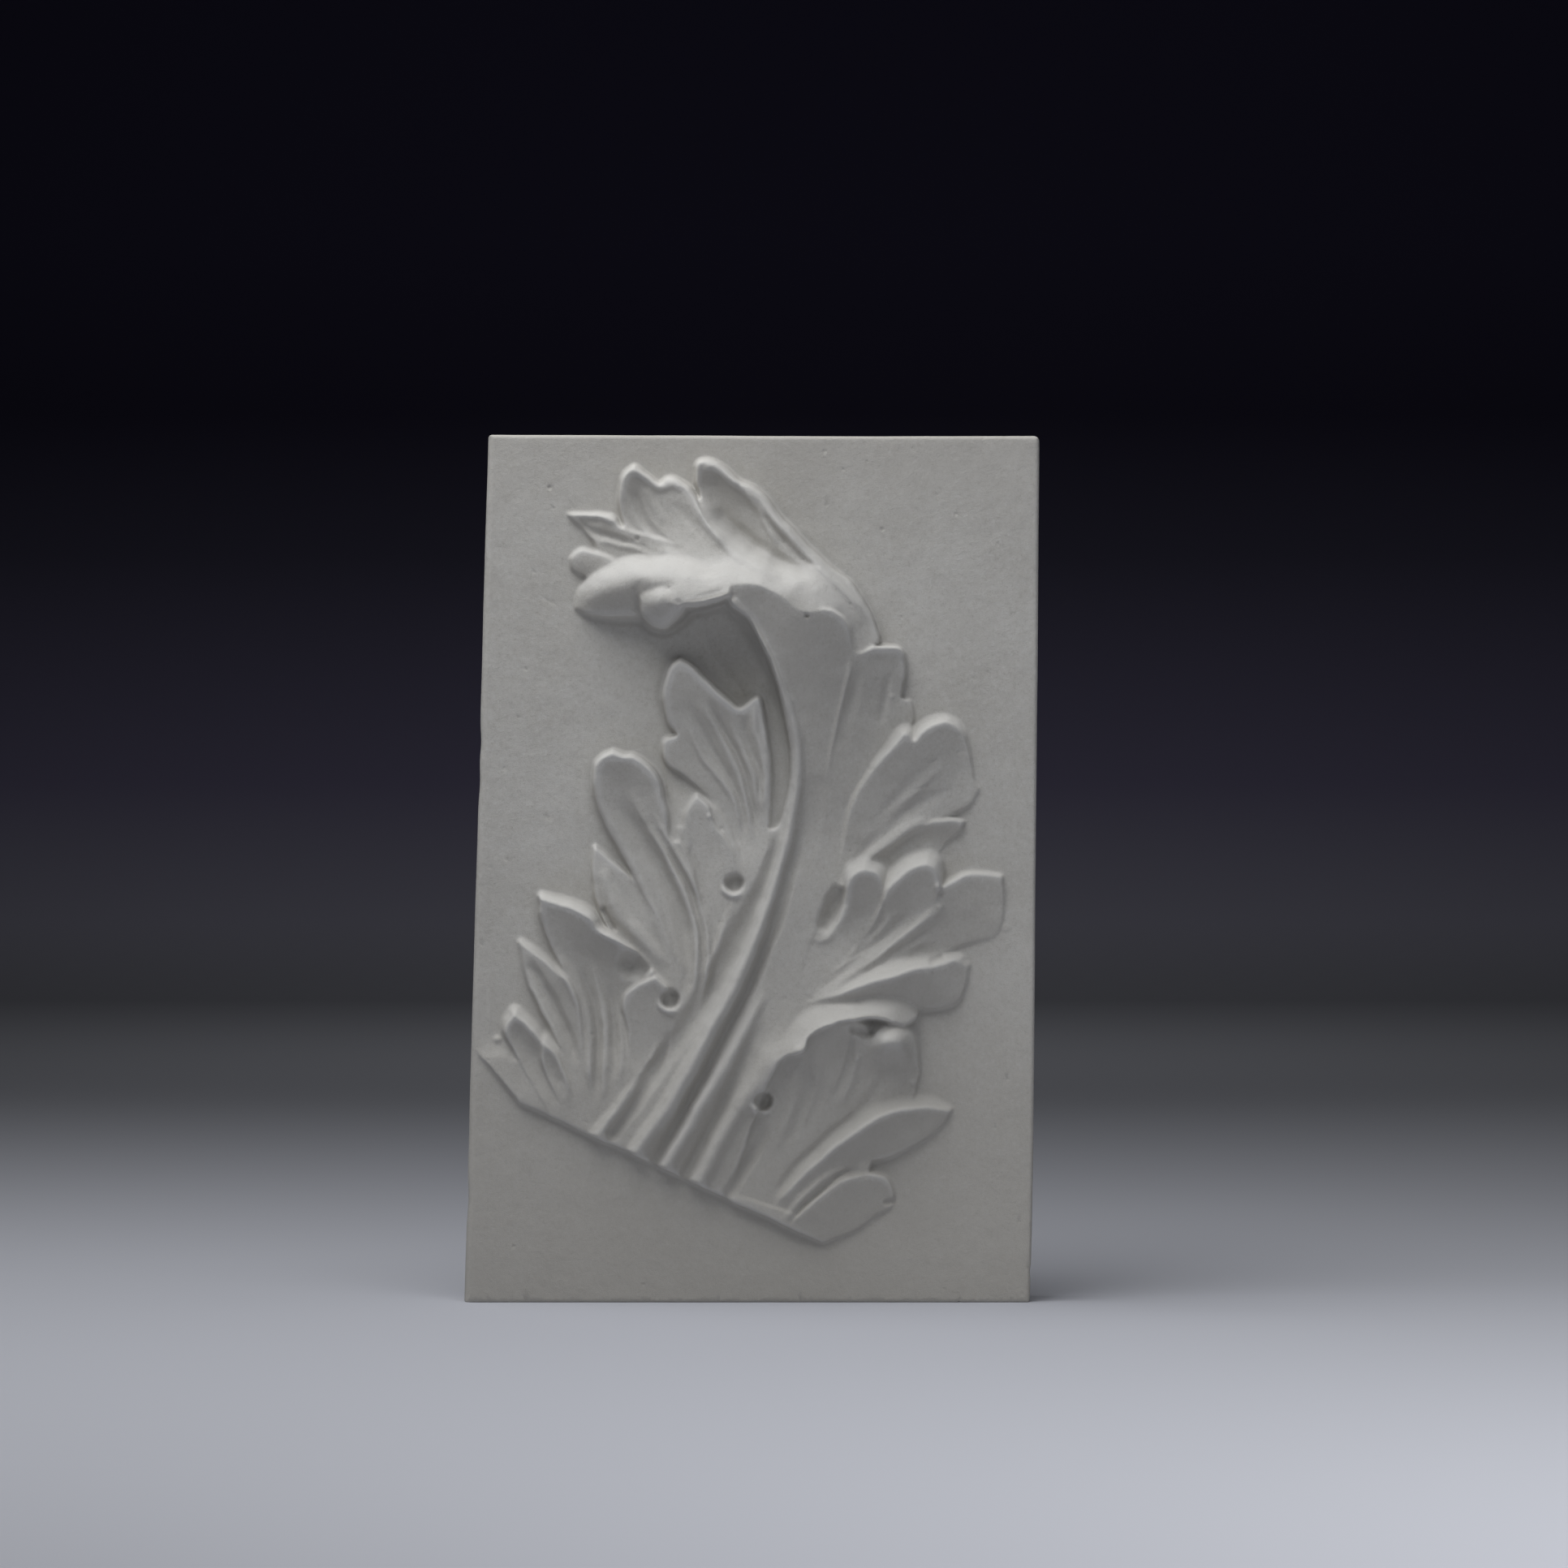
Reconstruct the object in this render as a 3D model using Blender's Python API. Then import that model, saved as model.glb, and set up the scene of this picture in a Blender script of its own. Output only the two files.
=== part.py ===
"""Plaster cast of a fragment of an acanthus leaf: a leaf in relief on a plain upright slab.

The slab stands on its lower edge and looks towards -Y. The leaf is one surface of heights above the
slab's face. It is carved leaflet by leaflet: each leaflet is laid between its two edge curves and over
what lies behind it, and ridges, channels and drilled eyes follow. Metres, +Z up.
"""

import bmesh
import bpy
import numpy as np

# The slab and the leaf, metres
LEAF_HEIGHT = 0.440       # from the lowest corner of the cut stalk to the highest tip
RELIEF_DEPTH = 0.042      # the rim of the curl above the slab's face
SLAB_THICKNESS = 0.040
MARGIN_BELOW = 0.034      # bare slab around the leaf, the sides measured at the slab's foot
MARGIN_ABOVE = 0.015
MARGIN_LEFT = 0.0105
MARGIN_RIGHT = 0.0163
LEAN_LEFT = 0.0136        # how far the left edge leans in towards the top
LEAN_RIGHT = 0.0043       # how far the right edge leans out
ARRIS_RADIUS = 0.0025     # worn front edges of the slab
EYE_DIAMETER = 0.010      # drilled holes between the lobes
EYE_DEPTH = 0.0054
CARVING_BLUR = 0.00055     # how far the finished carving is softened, and the least in grid cells
LEAST_BLUR = 0.6
CUT_SLOPE = 6.0           # steepness of the cut across the stalk

# The leaf is drawn on a sketch that is 440 parts high, upwards from its foot line
SKETCH_HEIGHT = 440.0
SKETCH_FOOT = 34.0
REACH_LEFT = 152.0
REACH_RIGHT = 142.0
PART = LEAF_HEIGHT / SKETCH_HEIGHT

CELL = 0.0018             # spacing of the grid that the leaf is carved on
TRIANGLES = 8600          # faces kept in the finished solid

PLASTER = (0.63, 0.62, 0.59, 1.0)


def smooth_curve(points, spans=8):
    """A curve that passes through all of the points."""
    p = np.asarray(points, float)
    if len(p) < 3:
        return p
    ends = np.vstack([2 * p[0] - p[1], p, 2 * p[-1] - p[-2]])
    t = np.linspace(0, 1, spans, endpoint=False)[:, None]
    rows = []
    for a, b, c, d in zip(ends, ends[1:], ends[2:], ends[3:]):
        bend = (2 * a - 5 * b + 4 * c - d) * t**2 + (3 * b - a - 3 * c + d) * t**3
        rows.append(0.5 * (2 * b + (c - a) * t + bend))
    rows.append(p[-1:])
    return np.vstack(rows)


def at_shares(path, shares):
    """Points at shares of a path's length."""
    step = np.hypot(*np.diff(path, axis=0).T)
    far = np.concatenate([[0], np.cumsum(step)])
    want = np.asarray(shares) * far[-1]
    return np.column_stack([np.interp(want, far, path[:, 0]), np.interp(want, far, path[:, 1])])


def spread(values, shares):
    """Values spread evenly along a path, read at shares of its length."""
    v = np.atleast_1d(np.asarray(values, float))
    return np.interp(shares, np.linspace(0, 1, len(v)), v) if len(v) > 1 else np.full(np.shape(shares), v[0])


def nearest(path, x, z):
    """Distance to a path, and the share of its length at the nearest place."""
    run = np.diff(path, axis=0)
    length = np.hypot(run[:, 0], run[:, 1])
    before = np.concatenate([[0], np.cumsum(length)])
    best = np.full(x.shape, np.inf)
    share = np.zeros(x.shape)
    for (ax, az), (rx, rz), size, done in zip(path, run, length, before):
        if size == 0:
            continue
        t = np.clip(((x - ax) * rx + (z - az) * rz) / size**2, 0, 1)
        gap = np.hypot(x - ax - t * rx, z - az - t * rz)
        share = np.where(gap < best, (done + t * size) / before[-1], share)
        best = np.minimum(gap, best)
    return best, share


def outside_distance(outline, x, z):
    """Distance to a closed outline, below zero within it."""
    inside = np.zeros(x.shape, bool)
    for (ax, az), (bx, bz) in zip(outline, np.roll(outline, -1, axis=0)):
        if az != bz:
            inside ^= ((az > z) != (bz > z)) & (x < (bx - ax) * (z - az) / (bz - az) + ax)
    gap, _ = nearest(np.vstack([outline, outline[:1]]), x, z)
    return np.where(inside, -gap, gap)


def stretched_skin(anchors, x, z):
    """The smoothest surface through the anchors, each an x, a z and a height."""
    a = np.asarray(anchors, float)

    def bend(r2):
        return r2 * np.log(r2 + 1e-9)

    between = bend((a[:, None, 0] - a[None, :, 0]) ** 2 + (a[:, None, 1] - a[None, :, 1]) ** 2)
    flat = np.column_stack([np.ones(len(a)), a[:, :2]])
    system = np.block([[between, flat], [flat.T, np.zeros((3, 3))]])
    weights = np.linalg.solve(system, np.concatenate([a[:, 2], np.zeros(3)]))
    out = weights[-3] + weights[-2] * x + weights[-1] * z
    for (ax, az, _), w in zip(a, weights):
        out = out + w * bend((x - ax) ** 2 + (z - az) ** 2)
    return out


def smooth_step(low, high, value):
    t = np.clip((value - low) / (high - low), 0, 1)
    return t * t * (3 - 2 * t)


def smooth_max(a, b, fillet):
    share = np.clip(0.5 + 0.5 * (a - b) / fillet, 0, 1)
    return b + (a - b) * share + fillet * share * (1 - share)


def softened(heights, radius):
    """Heights blurred over a radius given in cells."""
    reach = max(1, round(radius * 2.5))
    weights = np.exp(-0.5 * (np.arange(-reach, reach + 1) / radius) ** 2)
    weights /= weights.sum()
    for _ in range(2):
        padded = np.pad(heights, ((reach, reach), (0, 0)), mode="edge")
        heights = sum(w * padded[i:i + heights.shape[0]] for i, w in enumerate(weights)).T
    return heights


class Relief:
    """Heights over the sketch, in parts, and the tools that carve them."""

    REACH = 22.0     # how far a slope outside an edge can run

    def __init__(self, left, right, foot, top, cell):
        self.cell = cell
        self.edge = max(0.5, 0.9 * cell)    # half the width over which a leaflet's edge turns down
        self.corner = (left, foot)
        self.x, self.z = np.meshgrid(np.arange(left, right + cell, cell), np.arange(foot, top + cell, cell))
        self.h = np.zeros_like(self.x)

    def window(self, points, reach):
        """The part of the grid around some points."""
        low = np.maximum(((np.min(points, 0) - reach - self.corner) / self.cell).astype(int), 0)
        high = np.maximum(((np.max(points, 0) + reach - self.corner) / self.cell).astype(int) + 2, 1)
        return np.s_[low[1]:high[1], low[0]:high[0]]

    def lay(self, outline, anchors, upper, lower, foot, grown=None, merge=0.0):
        """Lay a face through the anchors over what is there, with a wall down from the outline's edge.

        upper and lower are the wall's steepness where it looks up and where it doesn't, and foot is how
        softly it runs out. A face that merges only adds to what is there, with a fillet of that size.
        """
        view = self.window(outline, self.REACH)
        x, z, h = self.x[view], self.z[view], self.h[view]
        beyond = outside_distance(outline, x, z)
        rise_z, rise_x = np.gradient(beyond, self.cell)
        back = np.maximum(beyond, 0)
        face = stretched_skin(anchors, x - back * rise_x, z - back * rise_z)
        if merge:
            face = smooth_max(h, face, merge)
        looks_up = smooth_step(0.0, 0.9, rise_z)
        run = softened(1 / lower + (1 / upper - 1 / lower) * looks_up, 2 / self.cell)
        soft = softened(min(foot, 2.0) + max(foot - 2.0, 0.0) * looks_up, 2 / self.cell)
        wall = smooth_max(h, face - back / run, np.clip(face - h, 0.1, soft))
        covers = smooth_step(self.edge, -self.edge, beyond)
        share = grown(x, z) if grown else 1.0
        self.h[view] = h + (wall * (1 - covers) + face * covers - h) * share

    def leaflet(self, left, right, left_rise, right_rise, hollow=1.5, root=0.3, upper=8.0, lower=10.0,
                foot=2.0):
        """A leaflet between its left and right edges, each drawn from the root to the tip.

        The rises are its edges' heights from root to tip, hollow is how far its middle lies below them,
        and root is the share of its length over which it grows out of what lies behind.
        """
        left, right = smooth_curve(left), smooth_curve(right)
        shares = np.linspace(0, 1, 6)
        a, b = at_shares(left, shares), at_shares(right, shares)
        rise_a, rise_b = spread(left_rise, shares), spread(right_rise, shares)
        middle = (a + b) / 2
        low = (rise_a + rise_b) / 2 - spread(hollow, shares)
        anchors = np.vstack([
            np.column_stack([a, rise_a]),
            np.column_stack([b, rise_b])[:-1],
            np.column_stack([middle, low])[1:-1],
        ])
        spine = smooth_curve(middle)

        def grown(x, z):
            return smooth_step(0, root, nearest(spine, x, z)[1])

        self.lay(np.vstack([left, right[::-1]]), anchors, upper, lower, foot, grown if root else None)

    def sheet(self, outline, anchors, upper=6.0, lower=7.0, foot=2.0, merge=0.0):
        """A free surface inside an outline, through anchors of given height."""
        self.lay(smooth_curve(outline, 4), anchors, upper, lower, foot, merge=merge)

    def stroke(self, path, width, rise, fade=(0.15, 0.15)):
        """A rounded ridge along a path, or a channel where rise is below zero, that fades at its ends."""
        path = smooth_curve(path)
        view = self.window(path, np.max(width) + 1)
        gap, along = nearest(path, self.x[view], self.z[view])
        across = np.clip(gap / spread(width, along), 0, 1)
        strength = spread(rise, along)
        if fade[0]:
            strength = strength * smooth_step(0, fade[0], along)
        if fade[1]:
            strength = strength * smooth_step(0, fade[1], 1 - along)
        self.h[view] += strength * (1 - across**2) ** 2

    def drill(self, x, z, radius, depth, run=(0, 0), flat=0.15):
        """A hole that is flat over a share of its radius, or a slot that runs both ways from its middle.

        A depth below zero makes a knob.
        """
        path = np.array([[x - run[0], z - run[1]], [x + run[0] + 1e-6, z + run[1]]])
        view = self.window(path, radius + 4)
        gap, _ = nearest(path, self.x[view], self.z[view])
        self.h[view] -= depth * smooth_step(radius + 0.5, radius * flat, gap)


def stalk_and_blade(relief):
    """The body of the leaf, from the cut stalk up to the rim of the curl."""
    relief.leaflet([(-14, 205), (-4, 235), (4, 262), (5, 300), (2, 345)],
                   [(2, 205), (12, 235), (20, 262), (22, 300), (18, 345)], (12, 10, 8, 5.5, 3),
                   (12, 10, 8, 5.5, 3), hollow=0, root=0.1, upper=1.0, lower=1.0)
    relief.sheet(
        [(-152, 128), (-120, 100), (-80, 80), (-30, 55), (25, 30), (44, 48), (62, 64), (75, 105), (78, 150),
         (68, 175), (60, 200), (55, 240), (62, 280), (84, 318), (91, 327), (90, 338), (84, 341), (86, 352),
         (86, 363), (82, 369), (69, 369), (62, 367), (60, 378), (53, 389), (40, 393), (26, 394), (10, 403),
         (-4, 406), (-14, 403), (-12, 393), (-2, 385), (4, 374), (11, 360), (16, 345), (20, 325),
         (22, 300), (19, 280), (15, 268), (8, 268), (0, 282), (-12, 286), (-25, 284), (-34, 266), (-42, 243),
         (-58, 222), (-62, 200), (-66, 180), (-80, 165), (-100, 150), (-120, 138), (-145, 135)],
        [(-150, 133, 3), (-100, 100, 5), (-60, 80, 6), (-20, 60, 6), (30, 38, 5), (-60, 150, 8),
         (-45, 200, 9), (-50, 225, 8), (-30, 250, 9), (-20, 275, 9), (-2, 265, 12), (-20, 150, 12),
         (-10, 200, 13), (20, 140, 14), (60, 178, 7), (5, 240, 14), (30, 200, 12), (60, 230, 8),
         (24, 280, 13), (45, 262, 9), (26, 310, 17), (52, 300, 12), (80, 320, 6), (18, 345, 25),
         (50, 345, 21), (68, 345, 14), (84, 345, 6), (0, 385, 35), (-10, 398, 39), (10, 398, 41),
         (30, 387, 39), (52, 380, 30), (66, 366, 20), (82, 367, 11), (40, 365, 30)],
        upper=20, lower=25)


def lower_left_lobe(relief):
    """Five leaflets that fan out to the left, and the knuckle beside the lowest eye."""
    relief.leaflet([(-128, 108), (-142, 124), (-152, 138)], [(-100, 104), (-118, 122), (-137, 137),
                                                             (-152, 138)],
                   (5, 4, 2), (5, 4, 2), hollow=0, root=0.2, upper=0.35)
    relief.drill(-143, 148, 2.5, -1.5)
    relief.leaflet([(-112, 104), (-128, 132), (-138, 152), (-133, 162)],
                   [(-100, 106), (-110, 134), (-123, 153), (-133, 162)],
                   (6, 5, 5, 9), (8, 7, 8, 9), hollow=(1, 4, 3), upper=1.6, lower=3)
    relief.leaflet([(-106, 110), (-117, 133), (-117, 146)], [(-100, 112), (-106, 132), (-112, 142),
                                                             (-117, 146)],
                   (7, 6, 9), (8, 8, 9), hollow=(1, 3, 1), root=0.4, upper=1.2, lower=3)
    relief.leaflet([(-98, 110), (-108, 143), (-118, 165), (-127, 184), (-130, 202)],
                   [(-88, 110), (-93, 150), (-102, 178), (-110, 187), (-119, 194), (-130, 202)],
                   (7, 5, 4, 3.5, 4.5), (8, 8, 8, 8, 6), hollow=(1, 1, 1, 1, 0), root=0.35, upper=1.5,
                   lower=2.5)
    relief.stroke([(-127, 194), (-119, 182), (-109, 164), (-102, 148), (-98, 132)], (3, 4.5, 4, 3),
                  (-1.5, -3, -3, -1.5))
    relief.stroke([(-126, 182), (-114, 158), (-106, 141)], 2.5, (1, 1.5, 1))
    relief.leaflet([(-94, 105), (-94, 136), (-98, 172), (-106, 188), (-114, 203), (-118, 216), (-118, 228)],
                   [(-60, 130), (-55, 165), (-54, 190), (-65, 200), (-84, 209), (-91, 217), (-102, 223),
                    (-118, 228)],
                   (7, 5, 4, 4, 7, 13), (9, 8, 11, 16, 16, 14), hollow=(1, 2, 4, 5, 2, 0), upper=3.5, foot=4)
    for path, width, rise in (
            ([(-112, 200), (-102, 183), (-94, 165), (-91, 145), (-91, 118)], (4, 6, 5, 4),
             (1.5, 3, 2.5, 1.5)),
            ([(-98, 190), (-89, 168), (-86, 145), (-88, 115)], (3, 4, 3), (-1, -2, -1)),
            ([(-92, 195), (-84, 170), (-82, 145), (-84, 110)], (3, 4, 3), (1, 2, 1)),
            ([(-80, 180), (-77, 155), (-77, 125)], (3, 3.5), (-1, -2, -1)),
            ([(-74, 165), (-73, 145), (-74, 122)], 3, (0.5, 1.5, 0.5)),
            ([(-94, 221), (-86, 214), (-80, 206), (-70, 202)], 2.5, (1, 2, 1.5))):
        relief.stroke(path, width, rise)
    relief.stroke([(-76, 195), (-65, 191), (-57, 185)], (9, 12, 8), (-4, -8, -5), (0.3, 0.1))
    relief.leaflet([(-68, 108), (-69, 150), (-72, 170), (-66, 178), (-52, 184)],
                   [(-54, 118), (-46, 150), (-45, 172), (-52, 184)],
                   (8, 6, 9, 14), (7, 6, 10, 14), hollow=(0, 0.5, 1, 0.3), root=0.45, upper=4, lower=4)
    relief.stroke([(-65, 128), (-60, 131), (-56, 138), (-53, 147)], 2.0, (0.6, 1.2, 0.6))


def middle_left_lobe(relief):
    """A long tongue with a shorter leaflet at its left."""
    relief.leaflet([(-46, 172), (-60, 194), (-77, 207), (-86, 222), (-89, 242), (-88, 257)],
                   [(-38, 180), (-48, 206), (-58, 226), (-67, 239), (-79, 249), (-88, 257)],
                   (9, 8, 7, 6, 6, 7), (8, 7, 6, 5, 6, 7), hollow=(0, -1, -1.5, -1, 0), root=0.2, lower=5)
    relief.stroke([(-85, 248), (-80, 232), (-72, 216), (-58, 201), (-47, 188)], (4, 7, 6, 4), (1, 3, 2.5, 1))
    relief.drill(-80.5, 216, 1.6, 3, run=(3, -5.5))
    relief.leaflet([(-43, 180), (-50, 210), (-62, 232), (-70, 247), (-83, 271), (-88, 286), (-88, 300),
                    (-84, 307), (-78, 310)],
                   [(-22, 190), (-26, 223), (-36, 252), (-43, 265), (-50, 284), (-52, 294), (-58, 302),
                    (-66, 307.5), (-72, 308), (-78, 310)],
                   (10, 8, 6, 6, 7, 12, 16), (12, 11, 10, 10, 12, 15, 16), hollow=(0.5, 1, 1, 2, 2.5, 0.5),
                   root=0.2, foot=1)
    for path, width, rise in (
            ([(-70, 290), (-58, 271), (-47, 251), (-38, 232), (-32, 214), (-30, 192), (-33, 165)],
             (4, 4, 3.5), (1, 3, 3, 1)),
            ([(-60, 281), (-43, 254), (-33, 236), (-27, 214), (-25, 195), (-28, 165)], 3.5,
             (0.5, 2.5, 2.5, 1)),
            ([(-65, 284), (-51, 262), (-40, 243), (-32, 225), (-27, 200), (-30, 170)], 3.5, (-1, -3, -3, -1)),
            ([(-76, 287), (-62, 263), (-49, 240), (-40, 217), (-36, 190), (-38, 165)], (6, 7, 6, 4),
             (-1.5, -4, -3, -1)),
            ([(-84, 285), (-76, 266), (-64, 243), (-55, 221), (-47, 198), (-42, 175)], (5, 6, 5, 3),
             (1, 2.5, 2.5, 1)),
            ([(-36, 275), (-33, 255), (-27, 235), (-21, 210), (-22, 185), (-29, 160)], (3, 4, 3),
             (-1, -1.5, -1.5, -1)),
            ([(-10, 229), (-17, 207), (-26, 180), (-33, 158)], 3, (1, 2, 2, 0.5))):
        relief.stroke(path, width, rise)


def upper_left_lobe(relief):
    """The leaflet that stands under the curl, with a horn against the midrib, and a short one before it."""
    relief.sheet([(22, 318), (20, 345), (10, 366), (0, 384), (-16, 394), (-30, 388), (-24, 368), (-8, 350),
                  (2, 330), (8, 316)],
                 [(22, 318, 1), (21, 332, 5), (20, 345, 8), (10, 366, 9), (0, 384, 9), (-16, 394, 8),
                  (-30, 388, 1), (-24, 368, 0), (-8, 350, 0.5), (2, 330, 0), (8, 316, 0)], merge=0.8)
    relief.sheet([(-50, 305), (-40, 300), (-28, 291), (-20, 283), (-24, 272), (-37, 262), (-46, 262),
                  (-47, 287)],
                 [(-49, 303, 1), (-40, 289, 2.5), (-30, 287, 5), (-22, 281, 8), (-35, 279, 5), (-43, 276, 4),
                  (-42, 265, 7), (-30, 270, 8)])
    relief.leaflet([(-4, 240), (-10, 262), (-20, 280), (-36, 295), (-48, 304), (-49, 316), (-42, 320),
                    (-47, 328), (-49, 343), (-45, 357), (-40, 361)],
                   [(5, 240), (10, 270), (11, 295), (9, 315), (6, 332), (3, 340), (-7, 334), (-16, 341),
                    (-26, 350), (-34, 358), (-40, 361)],
                   (11, 8, 8, 8, 9, 14, 20), (13, 12, 14, 18, 19, 21, 20), hollow=(0, 1, 1, 1, 1), root=0.2)
    for path, width, rise in (
            ([(-30, 340), (-22, 327), (-12, 308), (-5, 290), (-1, 270), (2, 255)], 3.5, (1, 2, 2, 1)),
            ([(-38, 330), (-28, 308), (-20, 298), (-10, 283), (-5, 262)], 3, (1, 2, 1)),
            ([(-26, 342), (-16, 323), (-6, 303), (0, 282), (3, 262)], 3, (-1, -2, -2, -1)),
            ([(-36, 340), (-25, 317), (-15, 300), (-7, 283), (-3, 262)], 3, (-1, -2, -1)),
            ([(-14, 334), (-6, 314), (1, 295), (4, 275)], 3, (0.5, 1.5, 1)),
            ([(1, 337), (2, 322), (6, 311), (8, 295), (7, 275)], 3, (2, 2, 1.5, 1)),
            ([(-5, 331), (-2, 316), (4, 300), (6, 280)], 3, (-1.5, -2, -1))):
        relief.stroke(path, width, rise)
    relief.leaflet([(-26, 195), (-29, 225), (-33.5, 248), (-38, 262), (-37.5, 274), (-31, 285)],
                   [(-14, 200), (-10, 235), (-9, 246), (-12, 257), (-16, 263), (-21, 269), (-24, 279),
                    (-31, 285)],
                   (10, 9, 8, 7, 8, 11), (12, 12, 13, 13, 12, 11), hollow=(0, -0.5, 0.5, 0.5), root=0.55,
                   upper=3)


def upper_right_lobe(relief):
    relief.leaflet([(50, 250), (66, 262), (84, 273), (97, 274), (104, 271), (111, 271.5), (119, 270.5)],
                   [(60, 225), (85, 236), (101, 249), (110, 259), (117, 265), (119, 270.5)],
                   (9, 8, 6, 6, 7, 4), (8, 3, 2, 1.5, 1.5, 4), hollow=(0, 1, 1, 0), upper=2.5, lower=3)
    relief.leaflet([(48, 235), (52, 262), (57, 282), (66, 297), (78, 311), (86, 320), (91, 315.5), (96, 321),
                    (103, 325.5), (110, 326.5), (117, 322), (122, 311), (124, 300), (125, 294), (128, 289)],
                   [(52, 235), (70, 252), (88, 264), (101, 271), (115, 276), (124, 281), (128, 289)],
                   (9, 10.5, 13.5, 15, 6, 1.5), (9, 7, 6, 5, 2.5, 1.5), hollow=(0.5, 1, 2, 1.5, 0.5),
                   root=0.15, upper=2.6, lower=3, foot=5)
    for path, width, rise in (
            ([(104, 274), (88, 266), (72, 254), (56, 240), (44, 222)], (4, 6, 6, 4), (1.5, 2.5, 2, 1)),
            ([(116, 288), (98, 283), (82, 273), (68, 260), (56, 244)], (5, 6, 6, 4), (-0.3, -1.3, -1, -0.6)),
            ([(108, 303), (96, 291), (82, 276), (70, 262)], (3, 4, 3), (0.3, 0.9, 0.6)),
            ([(104, 308), (90, 294), (76, 279), (64, 264)], (4, 4, 3), (-0.3, -0.6, -0.4)),
            ([(60, 358), (57, 343), (53, 328), (50, 310)], (4, 6, 5), (-0.8, -1.8, -1.2, -0.4)),
            ([(76, 354), (75, 340), (72, 324)], 3.5, (-0.8, -1.6, -0.6)),
            ([(38, 300), (32, 268), (26, 238)], 9, (-0.8, -1.5, -0.8))):
        relief.stroke(path, width, rise)


def middle_right_lobe(relief):
    """A palm from which four leaflets open like the fingers of a hand."""
    relief.sheet([(26, 176), (34, 205), (48, 232), (56, 238), (64, 240), (74, 231), (84, 238), (98, 243),
                  (104, 232), (101, 216), (76, 196), (40, 170)],
                 [(28, 180, 12), (34, 205, 11), (48, 232, 11), (64, 239, 13), (74, 230, 8), (84, 237, 11),
                  (98, 242, 12), (103, 232, 7), (100, 216, 5), (75, 197, 8), (40, 171, 12), (68, 212, 8)],
                 lower=3)
    relief.leaflet([(30, 178), (80, 208), (106, 233), (114, 238), (123, 242), (141, 240)],
                   [(32, 166), (90, 190), (121, 202), (137, 206), (142, 222), (141, 240)],
                   (12, 12, 11, 11, 9, 3.5), (12, 7, 4, 1.8, 1, 3.5), hollow=(1, 1, 1, 0.3), lower=3, foot=3)
    relief.leaflet([(20, 165), (60, 178), (88, 187), (103, 190), (114, 192), (122, 190)],
                   [(25, 150), (70, 165), (92, 166), (113, 168), (120, 178), (122, 190)],
                   (12, 16, 20, 19, 13, 3), (9, 9, 7.5, 5, 3, 3), hollow=(1, 1.5, 0.5, 0.3), upper=1.5,
                   lower=3, foot=5)
    relief.leaflet([(35, 182), (60, 205), (71, 221), (76, 233), (84, 241), (92, 246), (98, 247)],
                   [(40, 172), (85, 207), (101, 222), (105, 231), (105, 239), (102, 245), (98, 247)],
                   (12, 10, 8, 13, 17, 17), (12, 9, 6.5, 7, 11, 17), hollow=(0.5, 1, 1.5, 0.5), root=0.65,
                   upper=2, lower=4, foot=5)
    relief.leaflet([(30, 185), (38, 199), (47, 212), (52, 225), (54, 237), (58, 242), (64, 244)],
                   [(40, 178), (62, 205), (70, 219), (74, 230), (73, 238), (70, 242), (64, 244)],
                   (12, 11, 11, 14, 18, 18), (12, 9, 8, 8, 13, 18), hollow=(0.5, 1, 1.5, 0.5), root=0.7,
                   upper=1.8, lower=5, foot=5)
    for path, width, rise in (
            ([(104, 206), (90, 201), (76, 194), (56, 184), (35, 172)], 4, (1, 1.3, 1.3, 1)),
            ([(110, 224), (96, 214), (82, 204), (62, 190), (42, 177)], (5, 6, 5), (1.5, 2, 1.5, 1)),
            ([(102, 213), (85, 201), (65, 187), (45, 174)], 3.5, (-1, -1.2, -1.2, -1)),
            ([(92, 222), (78, 208), (62, 195), (44, 181)], 4, (-0.6, -1, -0.5)),
            ([(84, 222), (70, 208), (54, 194)], 3, (0.5, 0.8, 0.5)),
            ([(74, 228), (74, 219), (69, 209), (58, 196)], 3, (-1.5, -1.5, -0.5))):
        relief.stroke(path, width, rise)
    relief.drill(114, 194, 2.6, -1.5, run=(4, 0))
    relief.drill(105, 234, 3, -2)
    relief.drill(106, 223, 2.5, -1.5)


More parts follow.
